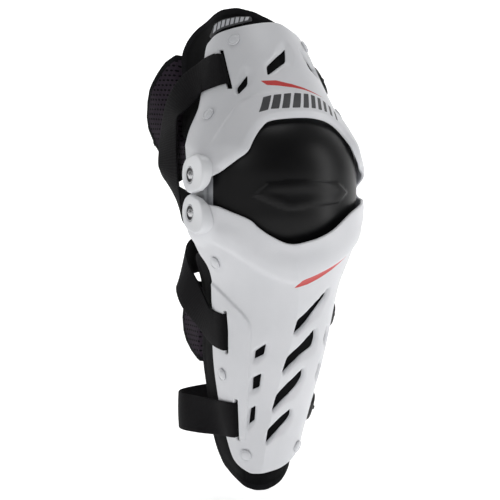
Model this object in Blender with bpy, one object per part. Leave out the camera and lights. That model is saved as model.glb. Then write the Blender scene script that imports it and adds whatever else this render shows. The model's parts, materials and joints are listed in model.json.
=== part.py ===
"""Hinged knee and shin guard for the left leg.

Two moulded shells, one on the thigh and one on the shin, turn on a domed knee cup about two
parallel axes that run across the knee. Padded liners, mesh wings and elastic straps hold it on.
The origin is at the centre of the knee, midway between the two axes. +Z runs up the leg, -Y is
the front and +X points to the wearer's other leg.
"""
import math

import bmesh
import bpy
from mathutils import Matrix, Vector
from mathutils.geometry import delaunay_2d_cdt

# Hinges
PIVOT_Z = 0.0175            # each hinge axis lies this far above or below the origin
PIVOT_Y = -0.0100
EAR_RADIUS = 0.0165         # round end of a shell around its axis
EAR_FLAT = 0.0180           # the shell is flat this far from its axis
EAR_BLEND = 0.0150          # and runs into the leg form over this distance
BORE_RADIUS = 0.0041
SHANK_RADIUS = 0.0036
HEAD_RADIUS = 0.0074
CUP_EAR = (0.0778, 0.0808)      # distance from the middle plane: inner face, outer face
WASHER = (0.0811, 0.0819)
SHELL_EAR = (0.0823, 0.0853)
CAP = (0.0856, 0.0888)
NUT = (0.0738, 0.0775)
NUT_RADIUS = 0.0074
CAP_CLEARANCE = 0.0005      # round the screw's head
INNER_CAP_RADIUS = 0.0130
# The outer cap's front edge, as (y, z) from its axis
CAP_FRONT = ((-0.0100, 0.0185), (-0.0200, 0.0170), (-0.0265, 0.0120),
             (-0.0285, 0.0030), (-0.0260, -0.0070), (-0.0195, -0.0130))

# Layers, as distances outward from the shells' outer face
SHELL_LAYER = (0.0, -0.0030)
LINER_LAYER = (-0.0041, -0.0112)
WING_LAYER = (-0.0040, -0.0068)
BADGE_LAYER = (-0.0012, -0.0024)
HOOK_LAYER = (0.0036, 0.0008)
STRAP_RISE = 0.0024
STRAP_THICKNESS = 0.0018
STRAP_WIDTH = 0.0360

# Knee cup: a dome turned about each axis, with a straight stretch between them
CUP_RADIUS = 0.0655
CUP_HALF_WIDTH = 0.0800
CUP_LAYER = (0.0, -0.0030)
KNEE_PAD_LAYER = (-0.0036, -0.0106)

# Fasteners
RIVET_RADIUS = 0.0058
RIVET_SHANK = 0.0021
RIVET_BORE = 0.0030
STUD_RADIUS = 0.0023
KEYHOLE_RADIUS = 0.0042

# Flat patterns: one millimetre across stands for one degree round the leg
DEGREE = 0.001
CELL_ANGLE = 14.0
CELL_HEIGHT = 0.018

# The leg form. Each row: height, half width, depth to the front, centre's y
SHIN_FORM = (
    (-0.290, 0.030, 0.031, 0.022),
    (-0.234, 0.038, 0.038, 0.016),
    (-0.208, 0.043, 0.042, 0.012),
    (-0.157, 0.053, 0.053, 0.006),
    (-0.117, 0.058, 0.061, 0.002),
    (-0.090, 0.062, 0.069, 0.001),
    (-0.055, 0.0745, 0.080, 0.000),
    (-0.031, 0.083, 0.085, 0.000),
    (-0.010, 0.086, 0.086, 0.000),
    (0.010, 0.087, 0.086, 0.000),
)
THIGH_FORM = (
    (-0.010, 0.087, 0.080, 0.000),
    (0.020, 0.087, 0.080, 0.001),
    (0.040, 0.086, 0.079, 0.005),
    (0.057, 0.080, 0.076, 0.012),
    (0.082, 0.066, 0.071, 0.020),
    (0.128, 0.0525, 0.061, 0.038),
    (0.180, 0.041, 0.048, 0.057),
)
SQUARENESS = 2.2            # exponent of the rounded front of every section
THIGH_SPREAD = 0.0840       # half width that the thigh's mesh wings open out to
SPREAD_LENGTH = 0.080

PAINT = {
    "shell_white": ((0.80, 0.81, 0.83), 0.34, 0.0),
    "cup_black": ((0.018, 0.018, 0.019), 0.38, 0.0),
    "pad_black": ((0.020, 0.019, 0.021), 0.85, 0.0),
    "mesh_plum": ((0.045, 0.036, 0.047), 0.90, 0.0),
    "elastic_black": ((0.024, 0.023, 0.025), 0.88, 0.0),
    "hook_black": ((0.012, 0.012, 0.013), 0.30, 0.0),
    "steel": ((0.62, 0.62, 0.64), 0.28, 1.0),
    "washer_nylon": ((0.55, 0.56, 0.58), 0.50, 0.0),
    "badge_silver": ((0.42, 0.42, 0.44), 0.45, 0.0),
}


def clear_scene():
    for item in list(bpy.data.objects):
        bpy.data.objects.remove(item, do_unlink=True)


def paint(item, name):
    """Give an object one of the guard's materials."""
    material = bpy.data.materials.get(name)
    if material is None:
        colour, roughness, metallic = PAINT[name]
        material = bpy.data.materials.new(name)
        material.use_nodes = True
        shader = material.node_tree.nodes["Principled BSDF"]
        shader.inputs["Base Color"].default_value = (*colour, 1.0)
        shader.inputs["Roughness"].default_value = roughness
        shader.inputs["Metallic"].default_value = metallic
        material.diffuse_color = (*colour, 1.0)
    item.data.materials.append(material)


def finish(name, bm, colour):
    """Close a bmesh into a named object, faces out, round parts smooth."""
    bmesh.ops.recalc_face_normals(bm, faces=bm.faces[:])
    mesh = bpy.data.meshes.new(name)
    bm.to_mesh(mesh)
    bm.free()
    mesh.shade_smooth()
    mesh.set_sharp_from_angle(angle=math.radians(40))
    item = bpy.data.objects.new(name, mesh)
    bpy.context.scene.collection.objects.link(item)
    paint(item, colour)
    return item


def hang(items, empty):
    """Parent pieces to the empty on their joint's axis, leaving them where they are."""
    for item in items:
        item.data.transform(Matrix.Translation(-empty.location))
        item.parent = empty


def axis_empty(name, place):
    empty = bpy.data.objects.new(name, None)
    empty.location = place
    bpy.context.scene.collection.objects.link(empty)
    return empty


# ---- The leg form ----------------------------------------------------------------------------

def section(form, height):
    """Half width, depth and centre of the form at a height, smooth between its rows."""
    heights = [row[0] for row in form]
    last = len(form) - 2
    span = min(max(sum(h <= height for h in heights) - 1, 0), last)
    step = heights[span + 1] - heights[span]
    t = (height - heights[span]) / step
    if t < 0 or t > 1:
        t = min(max(t, 0.0), 1.0)

    def slope(row, column):
        if row in (0, last + 1):
            return 0.0
        before = (form[row][column] - form[row - 1][column]) / (heights[row] - heights[row - 1])
        after = (form[row + 1][column] - form[row][column]) / (heights[row + 1] - heights[row])
        if before * after <= 0:
            return 0.0
        return 2 * before * after / (before + after)

    values = []
    for column in (1, 2, 3):
        low, high = form[span][column], form[span + 1][column]
        rise_low, rise_high = slope(span, column) * step, slope(span + 1, column) * step
        values.append((2 * t**3 - 3 * t**2 + 1) * low + (t**3 - 2 * t**2 + t) * rise_low
                      + (3 * t**2 - 2 * t**3) * high + (t**3 - t**2) * rise_high)
    return values


def form_face(form, angle, height):
    """A point on the shells' outer face. Angle 0 is the front, negative is the outer side."""
    half, depth, centre = section(form, height)
    side = math.copysign(1.0, angle)
    turn = math.radians(min(abs(angle), 90.0))
    beyond = max(abs(angle) - 90.0, 0.0) * DEGREE
    x = half * math.sin(turn) ** (2 / SQUARENESS)
    y = centre - depth * max(math.cos(turn), 0.0) ** (2 / SQUARENESS) + beyond
    if form is THIGH_FORM and beyond:
        t = min(beyond / SPREAD_LENGTH, 1.0)
        x += (THIGH_SPREAD - half) * t * t * (3 - 2 * t) if half < THIGH_SPREAD else 0.0
    axis_height = PIVOT_Z if form is THIGH_FORM else -PIVOT_Z
    from_axis = math.hypot(y - PIVOT_Y, height - axis_height)
    away = min(max((from_axis - EAR_FLAT) / EAR_BLEND, 0.0), 1.0)
    away = away * away * (3 - 2 * away)
    x = min(x, SHELL_EAR[1]) * away + SHELL_EAR[1] * (1 - away)
    return Vector((side * x, y, height))


def on_form(form, angle, height, rise=0.0):
    """A point that far outward from the shells' outer face."""
    here = form_face(form, angle, height)
    step = 0.5
    across = form_face(form, angle + step, height) - form_face(form, angle - step, height)
    along = form_face(form, angle, height + 0.0005) - form_face(form, angle, height - 0.0005)
    return here + across.cross(along).normalized() * rise


def form_normal(form, angle, height):
    return (on_form(form, angle, height, 0.001) - on_form(form, angle, height)).normalized()


def side_angle(form, y, height, side=-1):
    """The angle at which the form's side stands at a given y."""
    half, depth, centre = section(form, height)
    if y >= centre:
        return side * (90.0 + (y - centre) / DEGREE)
    return side * math.degrees(math.acos(min(((centre - y) / depth) ** (SQUARENESS / 2), 1.0)))


def cup_face(angle, along, rise=0.0):
    """A point on the knee cup. 'along' runs up the cup's middle line from its waist."""
    turn = math.radians(angle)
    x = (CUP_HALF_WIDTH + rise) * math.sin(turn)
    radius = (CUP_RADIUS + rise) * math.cos(turn)
    tilt = max(abs(along) - PIVOT_Z, 0.0) / CUP_RADIUS
    height = math.copysign(min(abs(along), PIVOT_Z) + radius * math.sin(tilt), along)
    return Vector((x, PIVOT_Y - radius * math.cos(tilt), height))


# ---- Flat patterns ---------------------------------------------------------------------------

def rounded(corners, radius_at, steps=4):
    """An outline with chosen corners rounded. Corners are (angle, height) pairs."""
    points = [Vector((angle * DEGREE, height, 0)) for angle, height in corners]
    outline = []
    for number, corner in enumerate(points):
        radius = radius_at.get(number, 0.0) if isinstance(radius_at, dict) else radius_at
        before = points[number - 1] - corner
        after = points[(number + 1) % len(points)] - corner
        reach = min(radius, before.length * 0.45, after.length * 0.45)
        if reach < 1e-5:
            outline.append(corner)
            continue
        start = corner + before.normalized() * reach
        end = corner + after.normalized() * reach
        for step in range(steps + 1):
            t = step / steps
            outline.append(start * (1 - t)**2 + corner * 2 * t * (1 - t) + end * t**2)
    return [(point.x / DEGREE, point.y) for point in outline]


def smooth(points, steps=2):
    """A curve through open points, as (angle, height) pairs."""
    points = [Vector((angle * DEGREE, height)) for angle, height in points]
    padded = [points[0] * 2 - points[1], *points, points[-1] * 2 - points[-2]]
    curve = []
    for number in range(1, len(padded) - 2):
        a, b, c, d = padded[number - 1:number + 3]
        for step in range(steps):
            t = step / steps
            curve.append((b * 2 + (c - a) * t + (a * 2 - b * 5 + c * 4 - d) * t * t
                          + (b * 3 - a - c * 3 + d) * t**3) / 2)
    curve.append(points[-1])
    return [(point.x / DEGREE, point.y) for point in curve]


def round_hole(form, angle, height, radius, steps=10):
    """A true circle on the form's surface, as an outline on its flat pattern."""
    wide = (form_face(form, angle + 1, height) - form_face(form, angle - 1, height)).length / 2
    turns = [2 * math.pi * step / steps for step in range(steps)]
    return [(angle + radius * math.cos(t) / wide, height + radius * math.sin(t)) for t in turns]


def ear_arc(form, pivot_z, start, end, side, radius=EAR_RADIUS, steps=9):
    """Points on a circle about a hinge axis, from one turn in degrees to another.

    A turn of 0 points backward and 90 points up."""
    outline = []
    for step in range(steps + 1):
        turn = math.radians(start + (end - start) * step / steps)
        y = PIVOT_Y + radius * math.cos(turn)
        height = pivot_z + radius * math.sin(turn)
        outline.append((side_angle(form, y, height, side), height))
    return outline


def pivot_bore(form, pivot_z, side):
    return ear_arc(form, pivot_z, 0, 330, side, BORE_RADIUS, 11)


def stepped(loop, cells):
    """A closed outline with its long stretches divided, so that they bend with the plate."""
    points = [Vector((angle * DEGREE, height)) for angle, height in loop]
    divided = []
    for number, point in enumerate(points):
        ahead = points[(number + 1) % len(points)]
        run = ahead - point
        parts = max(1, math.ceil(max(abs(run.x) / (cells[0] * DEGREE), abs(run.y) / cells[1])))
        divided += [point + run * step / parts for step in range(parts)]
    return divided


def inside(point, loop):
    crossings = 0
    for number, start in enumerate(loop):
        end = loop[number - 1]
        if (start.y > point.y) != (end.y > point.y):
            reach = (point.y - start.y) / (end.y - start.y)
            crossings += point.x < start.x + (end.x - start.x) * reach
    return crossings % 2 == 1


def clear_of(point, loops, distance):
    """Whether a point keeps its distance from every outline."""
    for loop in loops:
        for number, start in enumerate(loop):
            run = loop[number - 1] - start
            along = min(max((point - start).dot(run) / max(run.length_squared, 1e-12), 0.0), 1.0)
            if (start + run * along - point).length < distance:
                return False
    return True


def flat_piece(outline, holes, outer, inner, cells, marks=()):
    """A flat closed plate cut to an outline with holes, with a net of points so that it bends."""
    loops = [stepped(loop, cells) for loop in [outline, *holes]]
    points, edges = [], []
    for loop in loops:
        first = len(points)
        points += loop
        edges += [(first + step, first + (step + 1) % len(loop)) for step in range(len(loop))]
    marks = [Vector((angle * DEGREE, height)) for angle, height in marks]
    net = []
    steps_x, steps_y = cells[0] * DEGREE, cells[1]
    low_x, high_x = min(p.x for p in loops[0]), max(p.x for p in loops[0])
    low_y, high_y = min(p.y for p in loops[0]), max(p.y for p in loops[0])
    for column in range(math.ceil(low_x / steps_x), math.floor(high_x / steps_x) + 1):
        for row in range(math.ceil(low_y / steps_y), math.floor(high_y / steps_y) + 1):
            spot = Vector((column * steps_x, row * steps_y))
            if all((spot - mark).length > steps_x / 3 for mark in marks):
                net.append(spot)
    for spot in [*marks, *net]:
        within = inside(spot, loops[0]) and not any(inside(spot, hole) for hole in loops[1:])
        if within and clear_of(spot, loops, 0.0015 if spot in marks else steps_x / 4):
            points.append(spot)
    spots, _, faces, _, _, _ = delaunay_2d_cdt(points, edges, [], 0, 1e-7)
    bm = bmesh.new()
    verts = [bm.verts.new((spot.x, spot.y, 0)) for spot in spots]
    for face in faces:
        middle = sum((spots[number] for number in face), Vector((0, 0))) / 3
        if inside(middle, loops[0]) and not any(inside(middle, hole) for hole in loops[1:]):
            bm.faces.new([verts[number] for number in face])
    bmesh.ops.recalc_face_normals(bm, faces=bm.faces[:])
    copy = bmesh.ops.extrude_face_region(bm, geom=bm.faces[:], use_keep_orig=True)
    below = [item for item in copy["geom"] if isinstance(item, bmesh.types.BMVert)]
    for vert in bm.verts:
        vert.co.z = outer
    for vert in below:
        vert.co.z = inner
    return bm


def bent_piece(name, colour, wrap, outline, layer, holes=(), cells=(CELL_ANGLE, CELL_HEIGHT),
               marks=()):
    """A plate cut flat and bent round the leg."""
    bm = flat_piece(outline, holes, layer[0], layer[1], cells, marks)
    for vert in bm.verts:
        vert.co = wrap(vert.co.x / DEGREE, vert.co.y, vert.co.z)
    bmesh.ops.triangulate(bm, faces=bm.faces[:])
    return finish(name, bm, colour)


def on_thigh(angle, height, rise=0.0):
    return on_form(THIGH_FORM, angle, height, rise)


def on_shin(angle, height, rise=0.0):
    return on_form(SHIN_FORM, angle, height, rise)


# ---- Turned and flat hardware ----------------------------------------------------------------

def facing(place, direction):
    """A matrix that puts +Z along a direction, at a place."""
    turn = Vector((0, 0, 1)).rotation_difference(Vector(direction).normalized())
    return Matrix.Translation(place) @ turn.to_matrix().to_4x4()


def turned(name, colour, profile, matrix, segments=16):
    """A solid of revolution about +Z. The profile runs (radius, height); 0 closes it."""
    bm = bmesh.new()
    rings = []
    for radius, height in profile:
        if radius == 0:
            rings.append([bm.verts.new((0, 0, height))])
            continue
        turns = [2 * math.pi * step / segments for step in range(segments)]
        rings.append([bm.verts.new((radius * math.cos(t), radius * math.sin(t), height))
                      for t in turns])
    pairs = list(zip(rings, rings[1:]))
    if profile[0][0] and profile[-1][0]:
        pairs.append((rings[-1], rings[0]))
    for low, high in pairs:
        for step in range(segments):
            after = (step + 1) % segments
            corners = [low[step % len(low)], low[after % len(low)],
                       high[after % len(high)], high[step % len(high)]]
            bm.faces.new(list(dict.fromkeys(corners)))
    bm.transform(matrix)
    return finish(name, bm, colour)


def side_plate(name, colour, outline, hole, faces, side):
    """A flat plate on one side of the knee, cut to an outline of (y, z) points, with a hole."""
    bm = bmesh.new()
    for loop in (outline, hole):
        ring = [bm.verts.new((side * faces[1], y, z)) for y, z in loop]
        for number, vert in enumerate(ring):
            bm.edges.new((vert, ring[(number + 1) % len(ring)]))
    bmesh.ops.triangle_fill(bm, use_beauty=True, use_dissolve=False, edges=bm.edges[:])
    copy = bmesh.ops.extrude_face_region(bm, geom=bm.faces[:], use_keep_orig=True)
    for item in copy["geom"]:
        if isinstance(item, bmesh.types.BMVert):
            item.co.x = side * faces[0]
    return finish(name, bm, colour)


def circle_yz(y, z, radius, steps=16):
    turns = [2 * math.pi * step / steps for step in range(steps)]
    return [(y + radius * math.cos(t), z + radius * math.sin(t)) for t in turns]


# ---- Straps ----------------------------------------------------------------------------------

BACK_CENTRE = Vector((0, 0.048, 0))


def resting(form, angle, height, rise=STRAP_RISE):
    """A place on a strap's route where it lies on the shell, with the way it faces."""
    return on_form(form, angle, height, rise), form_normal(form, angle, height)


def free(x, y, z):
    """A place on a strap's route behind the leg, facing away from the leg's middle."""
    place = Vector((x, y, z))
    return place, ((place - BACK_CENTRE) * Vector((1, 1, 0))).normalized()


def spline(points, steps):
    padded = [points[0] * 2 - points[1], *points, points[-1] * 2 - points[-2]]
    line = []
    for number in range(1, len(padded) - 2):
        a, b, c, d = padded[number - 1:number + 3]
        for step in range(steps):
            t = step / steps
            line.append((b * 2 + (c - a) * t + (a * 2 - b * 5 + c * 4 - d) * t * t
                         + (b * 3 - a - c * 3 + d) * t**3) / 2)
    line.append(points[-1])
    return line


def band(name, colour, route, width=STRAP_WIDTH, thickness=STRAP_THICKNESS, steps=3):
    """A flat elastic strap that lies along a route of (place, facing) pairs."""
    line = spline([place for place, _ in route], steps)
    faces = spline([outward for _, outward in route], steps)
    bm = bmesh.new()
    rings = []
    for number, point in enumerate(line):
        ahead = line[min(number + 1, len(line) - 1)] - line[max(number - 1, 0)]
        outward = faces[number]
        outward = (outward - ahead * outward.dot(ahead) / ahead.length_squared).normalized()
        across = outward.cross(ahead).normalized() * width / 2
        lift = outward * thickness / 2
        corners = (point + across + lift, point - across + lift,
                   point - across - lift, point + across - lift)
        rings.append([bm.verts.new(corner) for corner in corners])
    for low, high in zip(rings, rings[1:]):
        for edge in range(4):
            after = (edge + 1) % 4
            bm.faces.new((low[edge], low[after], high[after], high[edge]))
    bm.faces.new(rings[0])
    bm.faces.new(rings[-1])
    bmesh.ops.triangulate(bm, faces=bm.faces[:])
    return finish(name, bm, colour)


# ---- The knee: cup, pad and hinge hardware ---------------------------------------------------

CUP_EDGE = 78.0
CUP_REACH = PIVOT_Z + CUP_RADIUS * math.radians(64)
CUP_EAR_RADIUS = 0.0150


def build_cup():
    corner = 0.030
    outline = rounded(((-CUP_EDGE, -CUP_REACH), (CUP_EDGE, -CUP_REACH),
                       (CUP_EDGE, CUP_REACH), (-CUP_EDGE, CUP_REACH)), corner, 6)
    cup = bent_piece("knee_cup", "cup_black", cup_face, outline, CUP_LAYER, cells=(12.0, 0.0160))
    for side in (-1, 1):
        turns = [math.radians(step * 20) for step in range(10)]
        rim = [(PIVOT_Y + CUP_EAR_RADIUS * math.cos(t), PIVOT_Z + CUP_EAR_RADIUS * math.sin(t))
               for t in turns]
        rim += [(y, -z) for y, z in reversed(rim)]
        bore = circle_yz(PIVOT_Y, PIVOT_Z, BORE_RADIUS, 12)
        ear = side_plate("cup_ear", "cup_black", rim, bore, CUP_EAR, side)
        join(cup, ear, "UNION")
        lower_bore = turned("cup_bore", "cup_black",
                            ((0, -0.01), (BORE_RADIUS, -0.01), (BORE_RADIUS, 0.01), (0, 0.01)),
                            facing((side * CUP_EAR[0], PIVOT_Y, -PIVOT_Z), (side, 0, 0)), 12)
        join(cup, lower_bore, "DIFFERENCE")
    return cup


def join(item, tool, operation):
    """Unite a piece with a tool or cut it with one, and drop the tool."""
    modifier = item.modifiers.new("join", "BOOLEAN")
    modifier.operation = operation
    modifier.object = tool
    modifier.solver = "EXACT"
    bpy.context.view_layer.update()
    whole = bpy.data.meshes.new_from_object(
        item.evaluated_get(bpy.context.evaluated_depsgraph_get()))
    item.modifiers.clear()
    item.data = whole
    bpy.data.objects.remove(tool, do_unlink=True)


def build_knee():
    pieces = [build_cup()]
    reach = PIVOT_Z + CUP_RADIUS * math.radians(52)
    outline = rounded(((-60, -reach), (60, -reach), (60, reach), (-60, reach)), 0.025, 5)
    pieces.append(bent_piece("knee_pad", "pad_black", cup_face, outline, KNEE_PAD_LAYER,
                             cells=(12.0, 0.0160)))
    for level, pivot_z in (("upper", PIVOT_Z), ("lower", -PIVOT_Z)):
        for hand, side in (("outer", -1), ("inner", 1)):
            label = f"{level}_{hand}"
            pieces += build_pivot(label, pivot_z, side)
    return pieces


def build_pivot(label, pivot_z, side):
    """A shoulder screw through cap, shell ear, washer and cup ear, with a nut inside."""
    frame = facing((0, PIVOT_Y, pivot_z), (side, 0, 0))
    screw = turned(f"hinge_screw_{label}", "steel",
                   ((0, NUT[0] - 0.0008), (SHANK_RADIUS, NUT[0] - 0.0008),
                    (SHANK_RADIUS, CAP[0]), (HEAD_RADIUS, CAP[0]),
                    (HEAD_RADIUS, CAP[1] - 0.0016), (HEAD_RADIUS - 0.0012, CAP[1] - 0.0010),
                    (HEAD_RADIUS - 0.0026, CAP[1] - 0.0010), (HEAD_RADIUS - 0.0030, CAP[1] - 0.002),
                    (0, CAP[1] - 0.0020)), frame)
    washer = turned(f"hinge_washer_{label}", "washer_nylon",
                    ((BORE_RADIUS, WASHER[0]), (0.0090, WASHER[0]),
                     (0.0090, WASHER[1]), (BORE_RADIUS, WASHER[1])), frame)
    nut = side_plate(f"hinge_nut_{label}", "steel", circle_yz(PIVOT_Y, pivot_z, NUT_RADIUS, 6),
                     circle_yz(PIVOT_Y, pivot_z, BORE_RADIUS, 12), NUT, side)
    return [screw, washer, nut]


def build_caps(level, pivot_z, up):
    """The covers around two screw heads: drawn out to the front outside, low and round inside."""
    back = [math.radians(-100 + 20 * step) for step in range(10)]
    outline = [(PIVOT_Y + EAR_RADIUS * math.cos(t), pivot_z + up * EAR_RADIUS * math.sin(t))
               for t in back]
    outline += [(PIVOT_Y + y, pivot_z + up * z) for y, z in CAP_FRONT]
    hole = circle_yz(PIVOT_Y, pivot_z, HEAD_RADIUS + CAP_CLEARANCE)
    inner_outline = circle_yz(PIVOT_Y, pivot_z, INNER_CAP_RADIUS, 20)
    return [side_plate(f"hinge_cap_{level}_outer", "shell_white", outline, hole, CAP, -1),
            side_plate(f"hinge_cap_{level}_inner", "shell_white", inner_outline, hole, CAP, 1)]


# ---- Shells ----------------------------------------------------------------------------------

THIGH_RIVETS = ((-46.5, 0.1430), (-73.0, 0.0735), (62.0, 0.0735), (48.0, 0.1380))
SHIN_RIVETS = ((-75.0, -0.0635), (-84.0, -0.1715), (-52.0, -0.2495),
               (38.0, -0.2440), (84.0, -0.1560), (76.0, -0.0735))

THIGH_VENTS = (
    ((8.0, 0.1365), (3.0, 0.1230), (-17.0, 0.1105), (-16.0, 0.1190)),
    ((28.0, 0.1345), (33.0, 0.1215), (50.0, 0.1090), (50.0, 0.1175)),
    ((-37.0, 0.1110), (-38.0, 0.1015), (-47.5, 0.0925), (-48.5, 0.0985)),
)
SHIN_VENTS = (
    ((-3.0, -0.1297), (-1.0, -0.1165), (26.5, -0.0885), (26.0, -0.0950), (21.0, -0.1010),
     (6.0, -0.1200)),
    ((-9.0, -0.1675), (-6.0, -0.1525), (19.5, -0.1270), (22.0, -0.1360), (20.5, -0.1440),
     (6.5, -0.1518)),
    ((-15.5, -0.2050), (-12.0, -0.1890), (13.0, -0.1650), (15.0, -0.1730), (10.0, -0.1818),
     (1.0, -0.1910)),
    ((-20.0, -0.2365), (-18.5, -0.2235), (8.0, -0.2045), (9.5, -0.2110), (5.5, -0.2162),
     (-4.0, -0.2256)),
    ((-39.5, -0.1465), (-28.5, -0.1395), (-30.0, -0.1495), (-40.0, -0.1540)),
    ((-41.0, -0.1725), (-31.5, -0.1685), (-33.0, -0.1815), (-41.5, -0.1845)),
    ((-44.0, -0.2035), (-37.5, -0.2005), (-38.5, -0.2145), (-47.0, -0.2190)),
    ((39.5, -0.1265), (48.5, -0.1335), (48.0, -0.1430), (40.0, -0.1370)),
    ((39.5, -0.1600), (47.5, -0.1640), (47.0, -0.1770), (41.0, -0.1730)),
)
THIGH_SLOT = ((-66.0, 0.1340), (-61.0, 0.1340), (-52.0, 0.0970), (-57.0, 0.0970))
SHIN_SLOTS = (
    ((-75.0, -0.1090), (-70.5, -0.1090), (-71.5, -0.1500), (-76.0, -0.1500)),
    ((-66.0, -0.1940), (-61.0, -0.1940), (-62.0, -0.2350), (-67.0, -0.2350)),
)
ARCH = ((-56.0, 0.0225), (-45.0, 0.0325), (-37.0, 0.0400), (-32.0, 0.0515), (-26.0, 0.0625),
        (-20.0, 0.0680), (-4.0, 0.0705), (10.0, 0.0705), (24.0, 0.0670), (33.0, 0.0600),
        (40.0, 0.0480), (46.0, 0.0360), (57.0, 0.0225))
THIGH_RIM = ((91.0, 0.0420), (90.0, 0.0600), (90.0, 0.0850), (88.0, 0.1050), (82.0, 0.1260),
             (66.0, 0.1400), (30.0, 0.1535), (9.0, 0.1605), (-25.0, 0.1580), (-64.0, 0.1510),
             (-79.0, 0.1440), (-87.0, 0.1340), (-89.0, 0.1000), (-90.0, 0.0600),
             (-92.0, 0.0420))
SHIN_CREST = ((62.0, -0.0090), (46.0, -0.0120), (30.0, -0.0185), (12.0, -0.0345),
              (-3.0, -0.0430), (-14.5, -0.0445), (-26.0, -0.0375), (-34.5, -0.0290),
              (-41.0, -0.0215), (-61.0, -0.0110))
SHIN_RIM = ((-95.0, -0.0420), (-93.0, -0.0530), (-86.0, -0.0710), (-90.0, -0.0980),
            (-97.0, -0.1300), (-100.0, -0.1600), (-100.0, -0.2000), (-94.0, -0.2300),
            (-80.0, -0.2550), (-50.0, -0.2665), (-30.0, -0.2680), (-4.0, -0.2655),
            (16.0, -0.2610), (40.0, -0.2530), (70.0, -0.2400), (90.0, -0.2200),
            (98.0, -0.1900), (98.0, -0.1600), (95.0, -0.1300), (90.0, -0.0980),
            (88.0, -0.0710), (92.0, -0.0530), (94.0, -0.0420))


def ear_marks(form, pivot_z):
    """Points round both ears where the flat stretch ends and the leg form begins."""
    return [place for side in (-1, 1) for reach in (EAR_FLAT, EAR_FLAT + EAR_BLEND * 0.6)
            for place in ear_arc(form, pivot_z, 0, 330, side, reach, 11)]


def build_thigh_shell():
    outline = ear_arc(THIGH_FORM, PIVOT_Z, -135, 20, -1)
    outline.reverse()
    outline += smooth(ARCH)
    outline += ear_arc(THIGH_FORM, PIVOT_Z, -135, 20, 1)
    outline += smooth(THIGH_RIM)
    holes = [rounded(vent, 0.0020, 1) for vent in THIGH_VENTS]
    holes.append(rounded(THIGH_SLOT, 0.0012, 1))
    holes += [round_hole(THIGH_FORM, *place, RIVET_BORE, 8) for place in THIGH_RIVETS]
    holes += [pivot_bore(THIGH_FORM, PIVOT_Z, side) for side in (-1, 1)]
    return bent_piece("thigh_shell", "shell_white", on_thigh, outline, SHELL_LAYER, holes,
                      marks=ear_marks(THIGH_FORM, PIVOT_Z))


def build_shin_shell():
    outline = ear_arc(SHIN_FORM, -PIVOT_Z, 135, -20, 1)
    outline.reverse()
    outline += smooth(SHIN_CREST)
    outline += ear_arc(SHIN_FORM, -PIVOT_Z, 135, -20, -1)
    outline += smooth(SHIN_RIM)
    holes = [rounded(vent, 0.0020, 1) for vent in SHIN_VENTS]
    holes += [rounded(slot, 0.0012, 1) for slot in SHIN_SLOTS]
    holes += [round_hole(SHIN_FORM, *place, RIVET_BORE, 8) for place in SHIN_RIVETS]
    holes += [pivot_bore(SHIN_FORM, -PIVOT_Z, side) for side in (-1, 1)]
    return bent_piece("shin_shell", "shell_white", on_shin, outline, SHELL_LAYER, holes,
                      marks=ear_marks(SHIN_FORM, -PIVOT_Z))


def build_rivets(group, form, places):
    """Flat button heads whose shanks pass through the shell and hold the liner."""
    pieces = []
    for number, (angle, height) in enumerate(places, 1):
        frame = facing(form_face(form, angle, height), form_normal(form, angle, height))
        profile = ((0, -0.0032), (RIVET_SHANK, -0.0032), (RIVET_SHANK, 0.0010),
                   (RIVET_RADIUS, 0.0010), (RIVET_RADIUS, 0.0016), (RIVET_RADIUS - 0.0010, 0.0021),
                   (0, 0.0023))
        pieces.append(turned(f"{group}_rivet_{number}", "shell_white", profile, frame, 12))
    return pieces


# ---- Liners and wings ------------------------------------------------------------------------

THIGH_LINER = ((-97.0, 0.0500), (-75.0, 0.0560), (-55.0, 0.0680), (-38.0, 0.0840),
               (-18.0, 0.0920), (10.0, 0.0930), (38.0, 0.0840), (55.0, 0.0680),
               (75.0, 0.0560), (97.0, 0.0520), (97.0, 0.1250), (88.0, 0.1420),
               (60.0, 0.1530), (30.0, 0.1580), (12.0, 0.1640), (-12.0, 0.1720),
               (-40.0, 0.1755), (-66.0, 0.1740), (-80.0, 0.1705), (-92.0, 0.1660),
               (-106.0, 0.1585), (-115.0, 0.1480), (-121.0, 0.1350), (-122.0, 0.1200),
               (-121.0, 0.1000), (-119.5, 0.0800), (-115.0, 0.0620), (-109.0, 0.0530))
THIGH_WING = ((-98.5, 0.0235), (-106.0, 0.0175), (-114.0, 0.0125), (-122.0, 0.0100),
              (-132.0, 0.0130), (-146.0, 0.0245), (-160.0, 0.0345), (-176.0, 0.0480),
              (-183.0, 0.0600), (-183.0, 0.0720), (-176.0, 0.0870), (-167.0, 0.0980),
              (-155.0, 0.1090), (-138.0, 0.1260), (-124.0, 0.1350), (-124.0, 0.1200),
              (-123.0, 0.1000), (-121.5, 0.0790), (-117.0, 0.0605), (-110.0, 0.0510),
              (-98.5, 0.0480))
INNER_WING = ((97.6, 0.1240), (110.0, 0.1250), (125.0, 0.1200), (140.0, 0.1080),
              (152.0, 0.0900), (160.0, 0.0700), (159.0, 0.0520), (148.0, 0.0390),
              (125.0, 0.0290), (97.6, 0.0300))
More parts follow.
